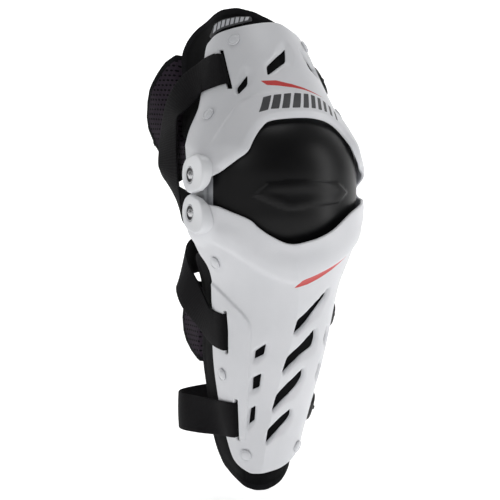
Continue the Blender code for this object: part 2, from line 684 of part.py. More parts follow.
SHIN_LINER = ((-120.0, -0.0780), (-121.0, -0.1000), (-127.0, -0.1250), (-133.0, -0.1500),
              (-135.0, -0.1700), (-135.0, -0.2350), (-128.0, -0.2540), (-117.0, -0.2680),
              (-95.0, -0.2770), (-62.0, -0.2835), (-35.0, -0.2860), (-8.0, -0.2855),
              (22.0, -0.2790), (48.0, -0.2700), (75.0, -0.2620), (100.0, -0.2520),
              (114.0, -0.2360), (120.0, -0.2050), (120.0, -0.1650), (118.0, -0.1500),
              (112.0, -0.1250), (106.5, -0.1000), (105.0, -0.0740), (96.0, -0.0600),
              (80.0, -0.0620), (62.0, -0.0760), (40.0, -0.0900), (0.0, -0.0960),
              (-40.0, -0.0900), (-62.0, -0.0760), (-80.0, -0.0620), (-96.0, -0.0600),
              (-108.0, -0.0580), (-117.0, -0.0640))
BADGE = ((-83.0, 0.1475), (-74.0, 0.1600), (-60.0, 0.1640), (-40.0, 0.1665), (-20.0, 0.1665),
         (-19.0, 0.1625), (-40.0, 0.1590), (-60.0, 0.1555), (-72.0, 0.1515), (-79.0, 0.1460))
CALF_WING = ((-122.8, -0.0880), (-138.0, -0.0850), (-153.0, -0.0930), (-166.0, -0.1080),
             (-173.5, -0.1260), (-173.0, -0.1390), (-168.0, -0.1490), (-158.0, -0.1580),
             (-146.0, -0.1650), (-137.0, -0.1680), (-134.8, -0.1500), (-128.8, -0.1250),
             (-122.8, -0.1000))


def build_liners():
    thigh = [
        bent_piece("thigh_liner", "pad_black", on_thigh, THIGH_LINER, LINER_LAYER),
        bent_piece("thigh_wing_outer", "mesh_plum", on_thigh, THIGH_WING, WING_LAYER,
                   cells=(10.0, 0.018)),
        bent_piece("thigh_wing_inner", "mesh_plum", on_thigh, INNER_WING, WING_LAYER,
                   cells=(10.0, 0.018)),
        bent_piece("liner_badge", "badge_silver", on_thigh, BADGE, BADGE_LAYER),
    ]
    shin = [
        bent_piece("shin_liner", "pad_black", on_shin, SHIN_LINER, LINER_LAYER),
        bent_piece("calf_wing_outer", "mesh_plum", on_shin, CALF_WING, WING_LAYER,
                   cells=(10.0, 0.020)),
        bent_piece("calf_wing_inner", "mesh_plum", on_shin,
                   tuple((-angle - 14.0, height) for angle, height in reversed(CALF_WING)),
                   WING_LAYER, cells=(10.0, 0.020)),
    ]
    return thigh, shin


# ---- Strap hooks -----------------------------------------------------------------------------

HOOK_REACH = 24.0           # degrees of pattern that a hook's plate covers in front of its bar
BAR_RADIUS = 0.0018
STRAP_GAP = 0.0050          # from the bar's middle to the strap's end
STRAP_CURL = 0.0150
THIGH_HOOK = (THIGH_FORM, 89.0, 0.0850, 0.1250)
UPPER_HOOK = (SHIN_FORM, 92.0, -0.1360, -0.0990)
LOWER_HOOK = (SHIN_FORM, 89.0, -0.2270, -0.1890)
BAR_RISE = 0.0026


def hook_axis(form, angle, low, high):
    """The two ends of the bar that a hook swings about."""
    return on_form(form, angle, low, BAR_RISE), on_form(form, angle, high, BAR_RISE)


def behind_hook(form, angle, low, high):
    """The last two places on a strap's route, square to the bar that its end loops round."""
    start, end = hook_axis(form, angle, low, high)
    outward = form_normal(form, angle, (low + high) / 2)
    back = outward.cross(start - end).normalized()
    if back.y < 0:
        back = -back
    middle = (start + end) / 2
    return [(middle + back * STRAP_CURL, outward), (middle + back * STRAP_GAP, outward)]


def build_hook(name, form, angle, low, high):
    """A moulded hook: a plate with a keyhole, in one piece with the bar at its back."""
    wrap = on_thigh if form is THIGH_FORM else on_shin
    middle = (low + high) / 2
    tip = angle - HOOK_REACH
    outline = rounded(((angle, low + 0.002), (angle, high - 0.002), (tip + 6.0, high - 0.007),
                       (tip, middle + 0.006), (tip, middle - 0.006), (tip + 6.0, low + 0.007)),
                      0.004, 3)
    hole = round_hole(form, tip + 8.0, middle, KEYHOLE_RADIUS, 12)
    hook = bent_piece(f"{name}_hook", "hook_black", wrap, outline, HOOK_LAYER, [hole],
                      (8.0, 0.012))
    start, end = hook_axis(form, angle, low, high)
    bar = turned("bar", "hook_black", ((0, 0), (BAR_RADIUS, 0),
                                       (BAR_RADIUS, (end - start).length),
                                       (0, (end - start).length)),
                 facing(start, end - start), 10)
    join(hook, bar, "UNION")
    place = wrap(tip + 8.0, middle)
    stud = turned(f"{name}_stud", "hook_black",
                  ((0, 0.0004), (STUD_RADIUS + 0.0004, 0.0004), (STUD_RADIUS, 0.0012),
                   (STUD_RADIUS, 0.0050), (STUD_RADIUS - 0.0008, 0.0058), (0, 0.0058)),
                  facing(place, form_normal(form, tip + 8.0, middle)), 12)
    empty = axis_empty(f"{name}_hook_axis", (start + end) / 2)
    hang([hook], empty)
    return hook, stud, empty


# ---- Straps' routes --------------------------------------------------------------------------

def build_straps():
    thigh = band("thigh_strap", "elastic_black", [
        resting(THIGH_FORM, -57.0, 0.1155), resting(THIGH_FORM, -66.0, 0.1145),
        resting(THIGH_FORM, -76.0, 0.1125), resting(THIGH_FORM, -88.0, 0.1080, 0.0030),
        free(-0.0700, 0.0400, 0.0950), free(-0.0810, 0.0480, 0.0740),
        free(-0.0870, 0.0430, 0.0480), free(-0.0880, 0.0400, 0.0200),
        free(-0.0740, 0.0520, -0.0060), free(-0.0450, 0.0780, -0.0200),
        free(0, 0.0890, -0.0240), free(0.0450, 0.0780, -0.0160),
        free(0.0770, 0.0520, 0.0060), free(0.0890, 0.0430, 0.0330),
        free(0.0880, 0.0480, 0.0620), free(0.0780, 0.0500, 0.0850), *behind_hook(*THIGH_HOOK)])
    upper = band("upper_calf_strap", "elastic_black", [
        resting(SHIN_FORM, -74.0, -0.1290), resting(SHIN_FORM, -82.0, -0.1285),
        resting(SHIN_FORM, -91.0, -0.1265), resting(SHIN_FORM, -105.0, -0.1190, 0.0034),
        free(-0.0690, 0.0330, -0.0980), free(-0.0700, 0.0480, -0.0780),
        free(-0.0560, 0.0660, -0.0660), free(-0.0300, 0.0800, -0.0620),
        free(0, 0.0840, -0.0640), free(0.0320, 0.0780, -0.0740),
        free(0.0580, 0.0600, -0.0920), free(0.0660, 0.0360, -0.1080),
        *behind_hook(*UPPER_HOOK)])
    lower = band("lower_calf_strap", "elastic_black", [
        resting(SHIN_FORM, -65.0, -0.2150), resting(SHIN_FORM, -74.0, -0.2148),
        resting(SHIN_FORM, -84.0, -0.2152), resting(SHIN_FORM, -103.0, -0.2160, 0.0034),
        free(-0.0530, 0.0540, -0.2170), free(-0.0570, 0.0800, -0.2175),
        free(-0.0480, 0.1000, -0.2170), free(-0.0250, 0.1080, -0.2155),
        free(0.0050, 0.1060, -0.2135), free(0.0330, 0.0930, -0.2115),
        free(0.0480, 0.0680, -0.2095), free(0.0510, 0.0400, -0.2080),
        *behind_hook(*LOWER_HOOK)])
    return thigh, upper, lower


def main():
    clear_scene()
    build_knee()
    thigh_axis = axis_empty("thigh_axis", (0, PIVOT_Y, PIVOT_Z))
    shin_axis = axis_empty("shin_axis", (0, PIVOT_Y, -PIVOT_Z))
    thigh_liners, shin_liners = build_liners()
    thigh_strap, upper_strap, lower_strap = build_straps()
    thigh_hook = build_hook("thigh", *THIGH_HOOK)
    upper_hook = build_hook("upper_calf", *UPPER_HOOK)
    lower_hook = build_hook("lower_calf", *LOWER_HOOK)
    thigh_pieces = [build_thigh_shell(), *build_rivets("thigh", THIGH_FORM, THIGH_RIVETS),
                    *build_caps("upper", PIVOT_Z, 1), *thigh_liners, thigh_strap,
                    thigh_hook[1]]
    shin_pieces = [build_shin_shell(), *build_rivets("shin", SHIN_FORM, SHIN_RIVETS),
                   *build_caps("lower", -PIVOT_Z, -1), *shin_liners, upper_strap,
                   lower_strap, upper_hook[1], lower_hook[1]]
    hang(thigh_pieces, thigh_axis)
    hang(shin_pieces, shin_axis)


main()
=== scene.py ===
"""The looks of a hinged knee and shin guard for the left leg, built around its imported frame.

The sections follow the guard as it is put together: white shells, knee cup, hinge hardware,
rivets, padded liners, mesh wings, straps, hooks, and last the studio. +Z runs up the leg and
-Y is the front. Flat patterns count one millimetre across for each degree round the leg.
"""
import json
import math

import bmesh
import bpy
import numpy as np
from mathutils import Matrix, Vector
from mathutils.geometry import delaunay_2d_cdt


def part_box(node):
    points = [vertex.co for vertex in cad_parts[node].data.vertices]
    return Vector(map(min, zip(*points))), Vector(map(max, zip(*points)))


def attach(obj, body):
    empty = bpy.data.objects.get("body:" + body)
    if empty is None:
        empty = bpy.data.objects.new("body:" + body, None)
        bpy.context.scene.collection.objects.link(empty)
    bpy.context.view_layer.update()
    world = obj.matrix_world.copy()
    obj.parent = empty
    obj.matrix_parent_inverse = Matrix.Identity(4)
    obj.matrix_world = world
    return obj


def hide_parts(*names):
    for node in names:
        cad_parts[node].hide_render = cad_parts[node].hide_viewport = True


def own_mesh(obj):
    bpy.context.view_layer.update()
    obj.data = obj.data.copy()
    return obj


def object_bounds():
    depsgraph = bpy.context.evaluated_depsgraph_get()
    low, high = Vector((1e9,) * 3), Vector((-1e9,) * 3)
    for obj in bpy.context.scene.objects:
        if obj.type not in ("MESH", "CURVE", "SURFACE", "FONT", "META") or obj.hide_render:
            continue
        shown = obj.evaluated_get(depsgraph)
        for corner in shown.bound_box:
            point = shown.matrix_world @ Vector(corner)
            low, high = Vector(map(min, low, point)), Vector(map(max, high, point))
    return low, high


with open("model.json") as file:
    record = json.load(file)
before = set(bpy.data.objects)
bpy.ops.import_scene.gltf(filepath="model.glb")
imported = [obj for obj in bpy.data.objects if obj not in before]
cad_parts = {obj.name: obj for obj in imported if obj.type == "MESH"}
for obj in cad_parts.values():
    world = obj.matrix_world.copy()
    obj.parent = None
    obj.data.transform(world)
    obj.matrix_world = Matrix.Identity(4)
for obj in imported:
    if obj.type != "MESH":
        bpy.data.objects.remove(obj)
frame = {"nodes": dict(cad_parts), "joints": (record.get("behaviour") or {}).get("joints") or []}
cad_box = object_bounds()
bpy.ops.object.select_all(action="DESELECT")

# ---- Thigh shell ------------------------------------------------------------------------------
# One white polypropylene moulding, 3 mm thick, arched over the knee. It is laid out here as a
# flat pattern, cut to its outline, and bent round the leg form that every layer follows.

hinges = {joint["name"]: joint for joint in frame["joints"]}
PIVOT_Y, PIVOT_Z = hinges["thigh_hinge"]["pos_m"][1:]
EAR_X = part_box("shin_shell")[1][0]
EAR_RADIUS, EAR_FLAT, EAR_BLEND = 0.0165, 0.0180, 0.0150
BORE_RADIUS = 0.0041
SHELL_THICKNESS = 0.0030
DEGREE = 0.001
SQUARENESS = 2.2
THIGH_SPREAD, SPREAD_LENGTH = 0.0840, 0.080
# Each row of a leg form: height, half width, depth to the front, centre's y
THIGH_FORM = ((-0.010, 0.087, 0.080, 0.000), (0.020, 0.087, 0.080, 0.001),
              (0.040, 0.086, 0.079, 0.005), (0.057, 0.080, 0.076, 0.012),
              (0.082, 0.066, 0.071, 0.020), (0.128, 0.0525, 0.061, 0.038),
              (0.180, 0.041, 0.048, 0.057))
SHIN_FORM = ((-0.290, 0.030, 0.031, 0.022), (-0.234, 0.038, 0.038, 0.016),
             (-0.208, 0.043, 0.042, 0.012), (-0.157, 0.053, 0.053, 0.006),
             (-0.117, 0.058, 0.061, 0.002), (-0.090, 0.062, 0.069, 0.001),
             (-0.055, 0.0745, 0.080, 0.000), (-0.031, 0.083, 0.085, 0.000),
             (-0.010, 0.086, 0.086, 0.000), (0.010, 0.087, 0.086, 0.000))


def section(form, height):
    """Half width, depth and centre of a leg form at many heights, smooth between its rows."""
    rows = np.array(form)
    steps = np.diff(rows[:, 0])
    span = np.clip(np.searchsorted(rows[:, 0], height, side="right") - 1, 0, len(rows) - 2)
    t = np.clip((height - rows[span, 0]) / steps[span], 0, 1)
    values = []
    for column in (1, 2, 3):
        rise = np.diff(rows[:, column]) / steps
        slope = np.zeros(len(rows))
        together = rise[:-1] * rise[1:] > 0
        total = np.where(together, rise[:-1] + rise[1:], 1.0)
        slope[1:-1] = np.where(together, 2 * rise[:-1] * rise[1:] / total, 0)
        low, high = rows[span, column], rows[span + 1, column]
        values.append((2 * t**3 - 3 * t**2 + 1) * low + (3 * t**2 - 2 * t**3) * high
                      + (t**3 - 2 * t**2 + t) * slope[span] * steps[span]
                      + (t**3 - t**2) * slope[span + 1] * steps[span])
    return values


def leg_face(form, angle, height):
    """Points on the shells' outer face. Angle 0 is the front, negative is the outer side."""
    angle, height = np.broadcast_arrays(np.asarray(angle, float), np.asarray(height, float))
    half, depth, centre = section(form, height)
    turn = np.radians(np.minimum(np.abs(angle), 90))
    beyond = np.maximum(np.abs(angle) - 90, 0) * DEGREE
    x = half * np.sin(turn) ** (2 / SQUARENESS)
    y = centre - depth * np.maximum(np.cos(turn), 0) ** (2 / SQUARENESS) + beyond
    if form is THIGH_FORM:
        t = np.clip(beyond / SPREAD_LENGTH, 0, 1)
        x = x + np.maximum(THIGH_SPREAD - half, 0) * t * t * (3 - 2 * t)
    axis_height = PIVOT_Z if form is THIGH_FORM else -PIVOT_Z
    away = np.clip((np.hypot(y - PIVOT_Y, height - axis_height) - EAR_FLAT) / EAR_BLEND, 0, 1)
    away = away * away * (3 - 2 * away)
    x = np.minimum(x, EAR_X) * away + EAR_X * (1 - away)
    return np.stack([np.copysign(x, angle), y, height], -1)


def leg_normal(form, angle, height):
    across = leg_face(form, angle + 0.5, height) - leg_face(form, angle - 0.5, height)
    along = leg_face(form, angle, height + 0.0005) - leg_face(form, angle, height - 0.0005)
    normal = np.cross(across, along)
    return normal / np.linalg.norm(normal, axis=-1, keepdims=True)


def on_leg(form, angle, height, rise=0.0):
    """Points that far outward from the shells' outer face."""
    angle, height = np.asarray(angle, float), np.asarray(height, float)
    rise = np.asarray(rise, float)[..., None]
    return leg_face(form, angle, height) + leg_normal(form, angle, height) * rise


def side_angle(form, y, height, side):
    half, depth, centre = (float(value) for value in section(form, np.float64(height)))
    if y >= centre:
        return side * (90 + (y - centre) / DEGREE)
    return side * math.degrees(math.acos(min(((centre - y) / depth) ** (SQUARENESS / 2), 1)))


def ear_arc(form, pivot_z, start, end, side, radius=EAR_RADIUS, steps=30):
    """Points on a circle about a hinge axis. A turn of 0 points backward and 90 points up."""
    turns = [math.radians(start + (end - start) * step / steps) for step in range(steps + 1)]
    places = [(PIVOT_Y + radius * math.cos(t), pivot_z + radius * math.sin(t)) for t in turns]
    return [(side_angle(form, y, height, side), height) for y, height in places]


def smooth(points, steps=8):
    """A curve through open points of any dimension."""
    points = np.array(points, float)
    padded = np.vstack([points[0] * 2 - points[1], points, points[-1] * 2 - points[-2]])
    t = np.linspace(0, 1, steps, endpoint=False)[:, None]
    curve = []
    for a, b, c, d in zip(padded, padded[1:], padded[2:], padded[3:]):
        curve.append((b * 2 + (c - a) * t + (a * 2 - b * 5 + c * 4 - d) * t * t
                      + (b * 3 - a - c * 3 + d) * t**3) / 2)
    return [tuple(point) for point in np.vstack([*curve, points[-1:]])]


def rounded(corners, radius, steps=5):
    """A closed outline of (angle, height) corners, each rounded."""
    points = np.array(corners, float) * (DEGREE, 1)
    outline = []
    for number, corner in enumerate(points):
        before, after = points[number - 1] - corner, points[(number + 1) % len(points)] - corner
        reach = [min(radius, np.linalg.norm(side) * 0.45) / np.linalg.norm(side)
                 for side in (before, after)]
        start, end = corner + before * reach[0], corner + after * reach[1]
        for t in np.linspace(0, 1, steps + 1):
            outline.append(start * (1 - t)**2 + corner * 2 * t * (1 - t) + end * t**2)
    return [tuple(point / (DEGREE, 1)) for point in outline]


def round_hole(form, angle, height, radius, steps=24):
    wide = np.linalg.norm(leg_face(form, angle + 1, height) - leg_face(form, angle - 1, height))
    turns = [2 * math.pi * step / steps for step in range(steps)]
    return [(angle + radius * math.cos(t) / wide * 2, height + radius * math.sin(t))
            for t in turns]


def divided(loop, length, closed=True):
    """An outline in pattern metres with its stretches cut to a length."""
    points = np.array(loop, float) * (DEGREE, 1)
    ahead = np.roll(points, -1, axis=0) if closed else points[1:]
    pieces = []
    for start, end in zip(points, ahead):
        parts = max(1, math.ceil(np.linalg.norm(end - start) / length))
        pieces.append(start + (end - start) * np.arange(parts)[:, None] / parts)
    if not closed:
        pieces.append(points[-1:])
    return np.vstack(pieces)


def gap(points, line, closed=True):
    """Distance of every point from a line, in pattern metres."""
    ahead = np.roll(line, -1, axis=0) if closed else line[1:]
    nearest = np.full(len(points), np.inf)
    for start, end in zip(line, ahead):
        run = end - start
        along = np.clip((points - start) @ run / max(run @ run, 1e-14), 0, 1)
        away = points - start - along[:, None] * run
        nearest = np.minimum(nearest, np.einsum("ij,ij->i", away, away))
    return np.sqrt(nearest)


def within(points, loop):
    """Which points lie inside a closed line."""
    odd = np.zeros(len(points), bool)
    for start, end in zip(loop, np.roll(loop, -1, axis=0)):
        if start[1] == end[1]:
            continue
        level = (start[1] > points[:, 1]) != (end[1] > points[:, 1])
        reach = start[0] + (points[:, 1] - start[1]) / (end[1] - start[1]) * (end[0] - start[0])
        odd ^= level & (points[:, 0] < reach)
    return odd


def sideways(run):
    """Unit vectors square to the vectors that run along a line."""
    across = np.stack([-run[:, 1], run[:, 0]], -1)
    return across / (np.linalg.norm(across, axis=1, keepdims=True) + 1e-12)


def ramp(values, low, high):
    t = np.clip((values - low) / (high - low), 0, 1)
    return t * t * (3 - 2 * t)


RIM_ROWS = (0.00015, 0.0005, 0.0011)    # rows of net beside each rim, from the rim
RIM_ROUND = 0.0011
RIM_STEP, LINE_STEP = 0.0016, 0.0018     # spacing of the net along rims and along creases


def cut_pattern(outline, holes, lines=(), prints=(), net=0.0021):
    """A dense flat net cut to an outline with holes, in rows along its rims, creases and prints.

    Returns its points, its triangles, each point's distance from the rims, and for each
    triangle the number of the print that it lies in, or 0."""
    loops = [divided(loop, RIM_STEP) for loop in [outline, *holes]]
    print_loops = [divided(loop, RIM_STEP) for loop in prints]
    points, edges = [], []
    for loop in [*loops, *print_loops]:
        first = sum(map(len, points))
        points.append(loop)
        count = len(loop)
        edges += [(first + step, first + (step + 1) % count) for step in range(count)]
    kept = []

    def inside(spots, clear):
        free = within(spots, loops[0])
        for hole in loops[1:]:
            free &= ~within(spots, hole)
        for loop in loops:
            free &= gap(spots, loop) > clear
        for loop in print_loops:
            free &= gap(spots, loop) > min(clear, 0.0005)
        return free

    for loop in loops:
        across = sideways(np.roll(loop, -1, axis=0) - np.roll(loop, 1, axis=0))
        for row in RIM_ROWS:
            for side in (-1, 1):
                spots = loop + across * side * row
                kept.append(spots[inside(spots, row * 0.93)])
    rows = []
    for line in lines:
        line = divided(line, LINE_STEP, closed=False)
        across = sideways(np.gradient(line, axis=0))
        for offset in (-0.0007, 0, 0.0007):
            spots = line + across * offset
            clear = inside(spots, 0.0014)
            for other in rows:
                clear &= gap(spots, other, closed=False) > 0.0009
            kept.append(spots[clear])
        rows.append(line)
    low, high = loops[0].min(axis=0), loops[0].max(axis=0)
    across, along = np.meshgrid(np.arange(low[0], high[0], net),
                                np.arange(low[1], high[1], net * 0.866))
    across = across + (np.arange(across.shape[0]) % 2)[:, None] * net / 2
    spots = np.stack([across.ravel(), along.ravel()], -1)
    free = inside(spots, 0.0019)
    for line in rows:
        free &= gap(spots, line, closed=False) > 0.0016
    kept.append(spots[free])
    flat = np.vstack(points + kept)
    spots, _, faces, _, _, _ = delaunay_2d_cdt([Vector(spot) for spot in flat], edges, [], 0, 1e-6)
    spots = np.array([tuple(spot) for spot in spots])
    faces = np.array([tuple(face) for face in faces])
    middle = spots[faces].mean(axis=1)
    whole = within(middle, loops[0])
    for hole in loops[1:]:
        whole &= ~within(middle, hole)
    faces, middle = faces[whole], middle[whole]
    side_a, side_b = (spots[faces[:, corner]] - spots[faces[:, 0]] for corner in (1, 2))
    turned = side_a[:, 0] * side_b[:, 1] - side_a[:, 1] * side_b[:, 0] < 0
    faces[turned] = faces[turned][:, ::-1]
    marks = np.zeros(len(faces), int)
    for number, loop in enumerate(print_loops, 1):
        marks[within(middle, loop)] = number
    rim = np.min([gap(spots, loop) for loop in loops], axis=0)
    used = np.unique(faces)
    place = np.full(len(spots), -1)
    place[used] = np.arange(len(used))
    return spots[used], place[faces], rim[used], marks


def in_scene(name, mesh):
    piece = bpy.data.objects.new(name, mesh)
    bpy.context.scene.collection.objects.link(piece)
    return piece


def plate(name, wrap, flat, outer, inner, marks=None):
    """A closed plate from a flat net: its outer face, its inner face and the rims between."""
    spots, faces = flat
    count = len(spots)
    edges = np.concatenate([faces[:, [0, 1]], faces[:, [1, 2]], faces[:, [2, 0]]])
    keys = {tuple(edge) for edge in edges.tolist()}
    border = [edge for edge in keys if edge[::-1] not in keys]
    angle, height = spots[:, 0] / DEGREE, spots[:, 1]
    verts = np.vstack([wrap(angle, height, outer), wrap(angle, height, inner)])
    walls = [(b, a, a + count, b + count) for a, b in border]
    mesh = bpy.data.meshes.new(name)
    mesh.from_pydata(verts.tolist(), [],
                     faces.tolist() + (faces[:, ::-1] + count).tolist() + walls)
    chart = mesh.uv_layers.new(name="pattern")
    corners = np.zeros(len(mesh.loops), int)
    mesh.loops.foreach_get("vertex_index", corners)
    chart.data.foreach_set("uv", spots[corners % count].ravel())
    if marks is not None:
        slots = np.concatenate([marks, np.zeros(len(faces) + len(walls), int)])
        mesh.polygons.foreach_set("material_index", slots.astype(np.int32))
    mesh.shade_smooth()
    mesh.update()
    return in_scene(name, mesh)


def rim_round(rim):
    """How far the outer face drops where a moulded rim is rounded off."""
    near = np.clip(RIM_ROUND - rim, 0, RIM_ROUND)
    return RIM_ROUND - np.sqrt(RIM_ROUND**2 - near**2)


def vent_recess(spots, vent, depth, reach, towards, spread=0.0022):
    """The soft chamfer that falls into a vent, wide on the side it faces and narrow elsewhere."""
    loop = np.array(vent) * (DEGREE, 1)
    middle = loop.mean(axis=0)
    aim = spots - middle
    aim /= np.linalg.norm(aim, axis=1, keepdims=True) + 1e-9
    facing = np.clip(aim @ np.array(towards) / np.linalg.norm(towards), 0, 1) ** 1.5
    width = spread + (reach - spread) * facing
    return depth * np.clip(1.15 - gap(spots, loop) / width * 1.15, 0, 1)


def dish(spots, place, radius, depth):
    """A shallow seat round a rivet."""
    away = np.linalg.norm(spots - np.array(place) * (DEGREE, 1), axis=1)
    return depth * (1 - ramp(away, radius, radius + 0.0022))


VENT_ROUND, SLOT_ROUND = 0.0022, 0.0012
RIVET_HOLE, RIVET_SEAT, SEAT_DEPTH = 0.0026, 0.0064, 0.0005
THINNEST = 0.0012                        # what is left of a shell where its outer face dips
LIP_WIDTH, LIP_DEPTH, BAND_RISE = 0.0048, 0.0030, 0.0018
THIGH_RIVETS = ((-46.5, 0.1430), (-73.0, 0.0735), (62.0, 0.0735), (48.0, 0.1380))
THIGH_VENTS = (
    ((8.0, 0.1365), (3.0, 0.1230), (-17.0, 0.1105), (-16.0, 0.1190)),
    ((28.0, 0.1345), (33.0, 0.1215), (50.0, 0.1090), (50.0, 0.1175)),
    ((-37.0, 0.1110), (-38.0, 0.1015), (-47.5, 0.0925), (-48.5, 0.0985)))
THIGH_CHAMFER, THIGH_CHAMFER_REACH = 0.0024, 0.0080
THIGH_SLOT = ((-66.0, 0.1340), (-61.0, 0.1340), (-52.0, 0.0970), (-57.0, 0.0970))
ARCH = ((-56.0, 0.0225), (-45.0, 0.0325), (-37.0, 0.0400), (-32.0, 0.0515), (-26.0, 0.0625),
        (-20.0, 0.0680), (-4.0, 0.0705), (10.0, 0.0705), (24.0, 0.0670), (33.0, 0.0600),
        (40.0, 0.0480), (46.0, 0.0360), (57.0, 0.0225))
THIGH_RIM = ((91.0, 0.0420), (90.0, 0.0600), (90.0, 0.0850), (88.0, 0.1050), (82.0, 0.1260),
             (66.0, 0.1400), (30.0, 0.1535), (9.0, 0.1605), (-25.0, 0.1580), (-64.0, 0.1510),
             (-79.0, 0.1440), (-87.0, 0.1340), (-89.0, 0.1000), (-90.0, 0.0600),
             (-92.0, 0.0420))
# The arch's raised band, the red flash above it and the slanted bars printed on it
BAND_CREASE = ((-70.0, 0.0400), (-62.0, 0.0500), (-55.0, 0.0650), (-48.0, 0.0800),
               (-36.0, 0.0885), (-24.0, 0.0925), (-6.0, 0.0950), (10.0, 0.0940),
               (28.0, 0.0880), (46.0, 0.0750), (58.0, 0.0580), (68.0, 0.0400))
THIGH_FLASH = ((-25.0, 0.1040), (-11.0, 0.1045), (1.0, 0.1012), (12.0, 0.0975), (34.0, 0.0885),
               (12.0, 0.0958), (1.0, 0.0980), (-10.0, 0.0995), (-20.0, 0.1000))
BAND_LOW = ((-30.0, 0.0735), (-20.0, 0.0770), (0.0, 0.0785), (14.0, 0.0780), (26.0, 0.0745),
            (35.0, 0.0670), (44.0, 0.0550))
BAND_HIGH = ((-30.0, 0.0860), (-20.0, 0.0895), (0.0, 0.0920), (14.0, 0.0910), (26.0, 0.0865),
             (35.0, 0.0795), (44.0, 0.0690))
BAR_STARTS = (-29.0, -20.0, -11.5, -3.5, 4.0, 11.0, 17.5, 23.5, 29.0, 34.0)
BAR_WIDTHS = (7.0, 6.4, 5.8, 5.2, 4.6, 4.0, 3.4, 2.8, 2.2, 1.6)
BAR_LEAN = 4.0


def slanted_bars(low, high, starts, widths, lean):
    """Bars that lean between two curves of (angle, height) points."""
    bars = []
    for start, width in zip(starts, widths):
        foot = [(angle, float(np.interp(angle, *zip(*low)))) for angle in (start, start + width)]
        top = [(angle, float(np.interp(angle, *zip(*high))))
               for angle in (start + width + lean, start + lean)]
        bars.append(rounded((*foot, *top), 0.0005, 2))
    return bars


thigh_bars = slanted_bars(BAND_LOW, BAND_HIGH, BAR_STARTS, BAR_WIDTHS, BAR_LEAN)

thigh_outline = ear_arc(THIGH_FORM, PIVOT_Z, -135, 20, -1)[::-1] + smooth(ARCH)
thigh_outline += ear_arc(THIGH_FORM, PIVOT_Z, -135, 20, 1) + smooth(THIGH_RIM)
thigh_vents = [rounded(vent, VENT_ROUND) for vent in THIGH_VENTS]
thigh_holes = [*thigh_vents, rounded(THIGH_SLOT, SLOT_ROUND)]
thigh_holes += [round_hole(THIGH_FORM, *place, RIVET_HOLE) for place in THIGH_RIVETS]
thigh_holes += [ear_arc(THIGH_FORM, PIVOT_Z, 0, 345, side, BORE_RADIUS, 23) for side in (-1, 1)]
lip_line = [(angle * 0.93, height + 0.0052) for angle, height in smooth(ARCH)]
thigh_prints = [*thigh_bars, rounded(THIGH_FLASH, 0.0008, 3)]
spots, faces, rim, marks = cut_pattern(thigh_outline, thigh_holes,
                                       [smooth(BAND_CREASE, 6), lip_line], thigh_prints)
crease = np.array(smooth(BAND_CREASE, 6)) * (DEGREE, 1)
below_crease = within(spots, np.vstack([crease, [(0.070, -0.02), (-0.072, -0.02)]]))
from_crease = gap(spots, crease, closed=False) * np.where(below_crease, 1, -1)
fade = ramp(np.abs(spots[:, 0]), 0.070, 0.052)
relief = BAND_RISE * ramp(from_crease, -0.0012, 0.0012) * fade
arch = np.array(smooth(ARCH)) * (DEGREE, 1)
relief -= LIP_DEPTH * np.clip(1 - gap(spots, arch, closed=False) / LIP_WIDTH, 0, 1)
for vent, aim in zip(thigh_vents, ((1.0, 0.4), (-0.4, -1.0), (0.6, 1.0))):
    relief -= vent_recess(spots, vent, THIGH_CHAMFER, THIGH_CHAMFER_REACH, aim)
for place in THIGH_RIVETS:
    relief -= dish(spots, place, RIVET_SEAT, SEAT_DEPTH)
bars_and_flash = np.where(marks == len(thigh_prints), 2, np.minimum(marks, 1))
thigh_shell = plate("thigh_shell_moulding", lambda *place: on_leg(THIGH_FORM, *place),
                    (spots, faces), relief - rim_round(rim),
                    np.clip(relief - THINNEST, -0.0034, -SHELL_THICKNESS + rim_round(rim)),
                    bars_and_flash)


def nodes_of(tree, kind, **given):
    """A node in a tree. A given name is one of its inputs, as a value or a link, or a setting."""
    made = tree.nodes.new(kind)
    for name, value in given.items():
        if name.startswith("in_"):
            socket = made.inputs[int(name[3:])]
        elif name.replace("_", " ") in made.inputs:
            socket = made.inputs[name.replace("_", " ")]
        else:
            setattr(made, name, value)
            continue
        if isinstance(value, bpy.types.NodeSocket):
            tree.links.new(value, socket)
        else:
            socket.default_value = value
    return made


def maths(tree, operation, *values):
    """The result of a Math node on numbers or sockets."""
    given = {f"in_{number}": value for number, value in enumerate(values)}
    return nodes_of(tree, "ShaderNodeMath", operation=operation, **given).outputs[0]


def effect_group(name, inputs, outputs):
    """An empty node group with named inputs (with their defaults) and outputs."""
    tree = bpy.data.node_groups.new(name, "ShaderNodeTree")
    for label, default in inputs.items():
        kind = "NodeSocketFloat" if isinstance(default, float) else "NodeSocketColor"
        kind = "NodeSocketVector" if default is None else kind
        socket = tree.interface.new_socket(label, in_out="INPUT", socket_type=kind)
        if default is not None:
            socket.default_value = default
    for label, kind in outputs.items():
        tree.interface.new_socket(label, in_out="OUTPUT", socket_type=f"NodeSocket{kind}")
    return tree, tree.nodes.new("NodeGroupInput"), tree.nodes.new("NodeGroupOutput")


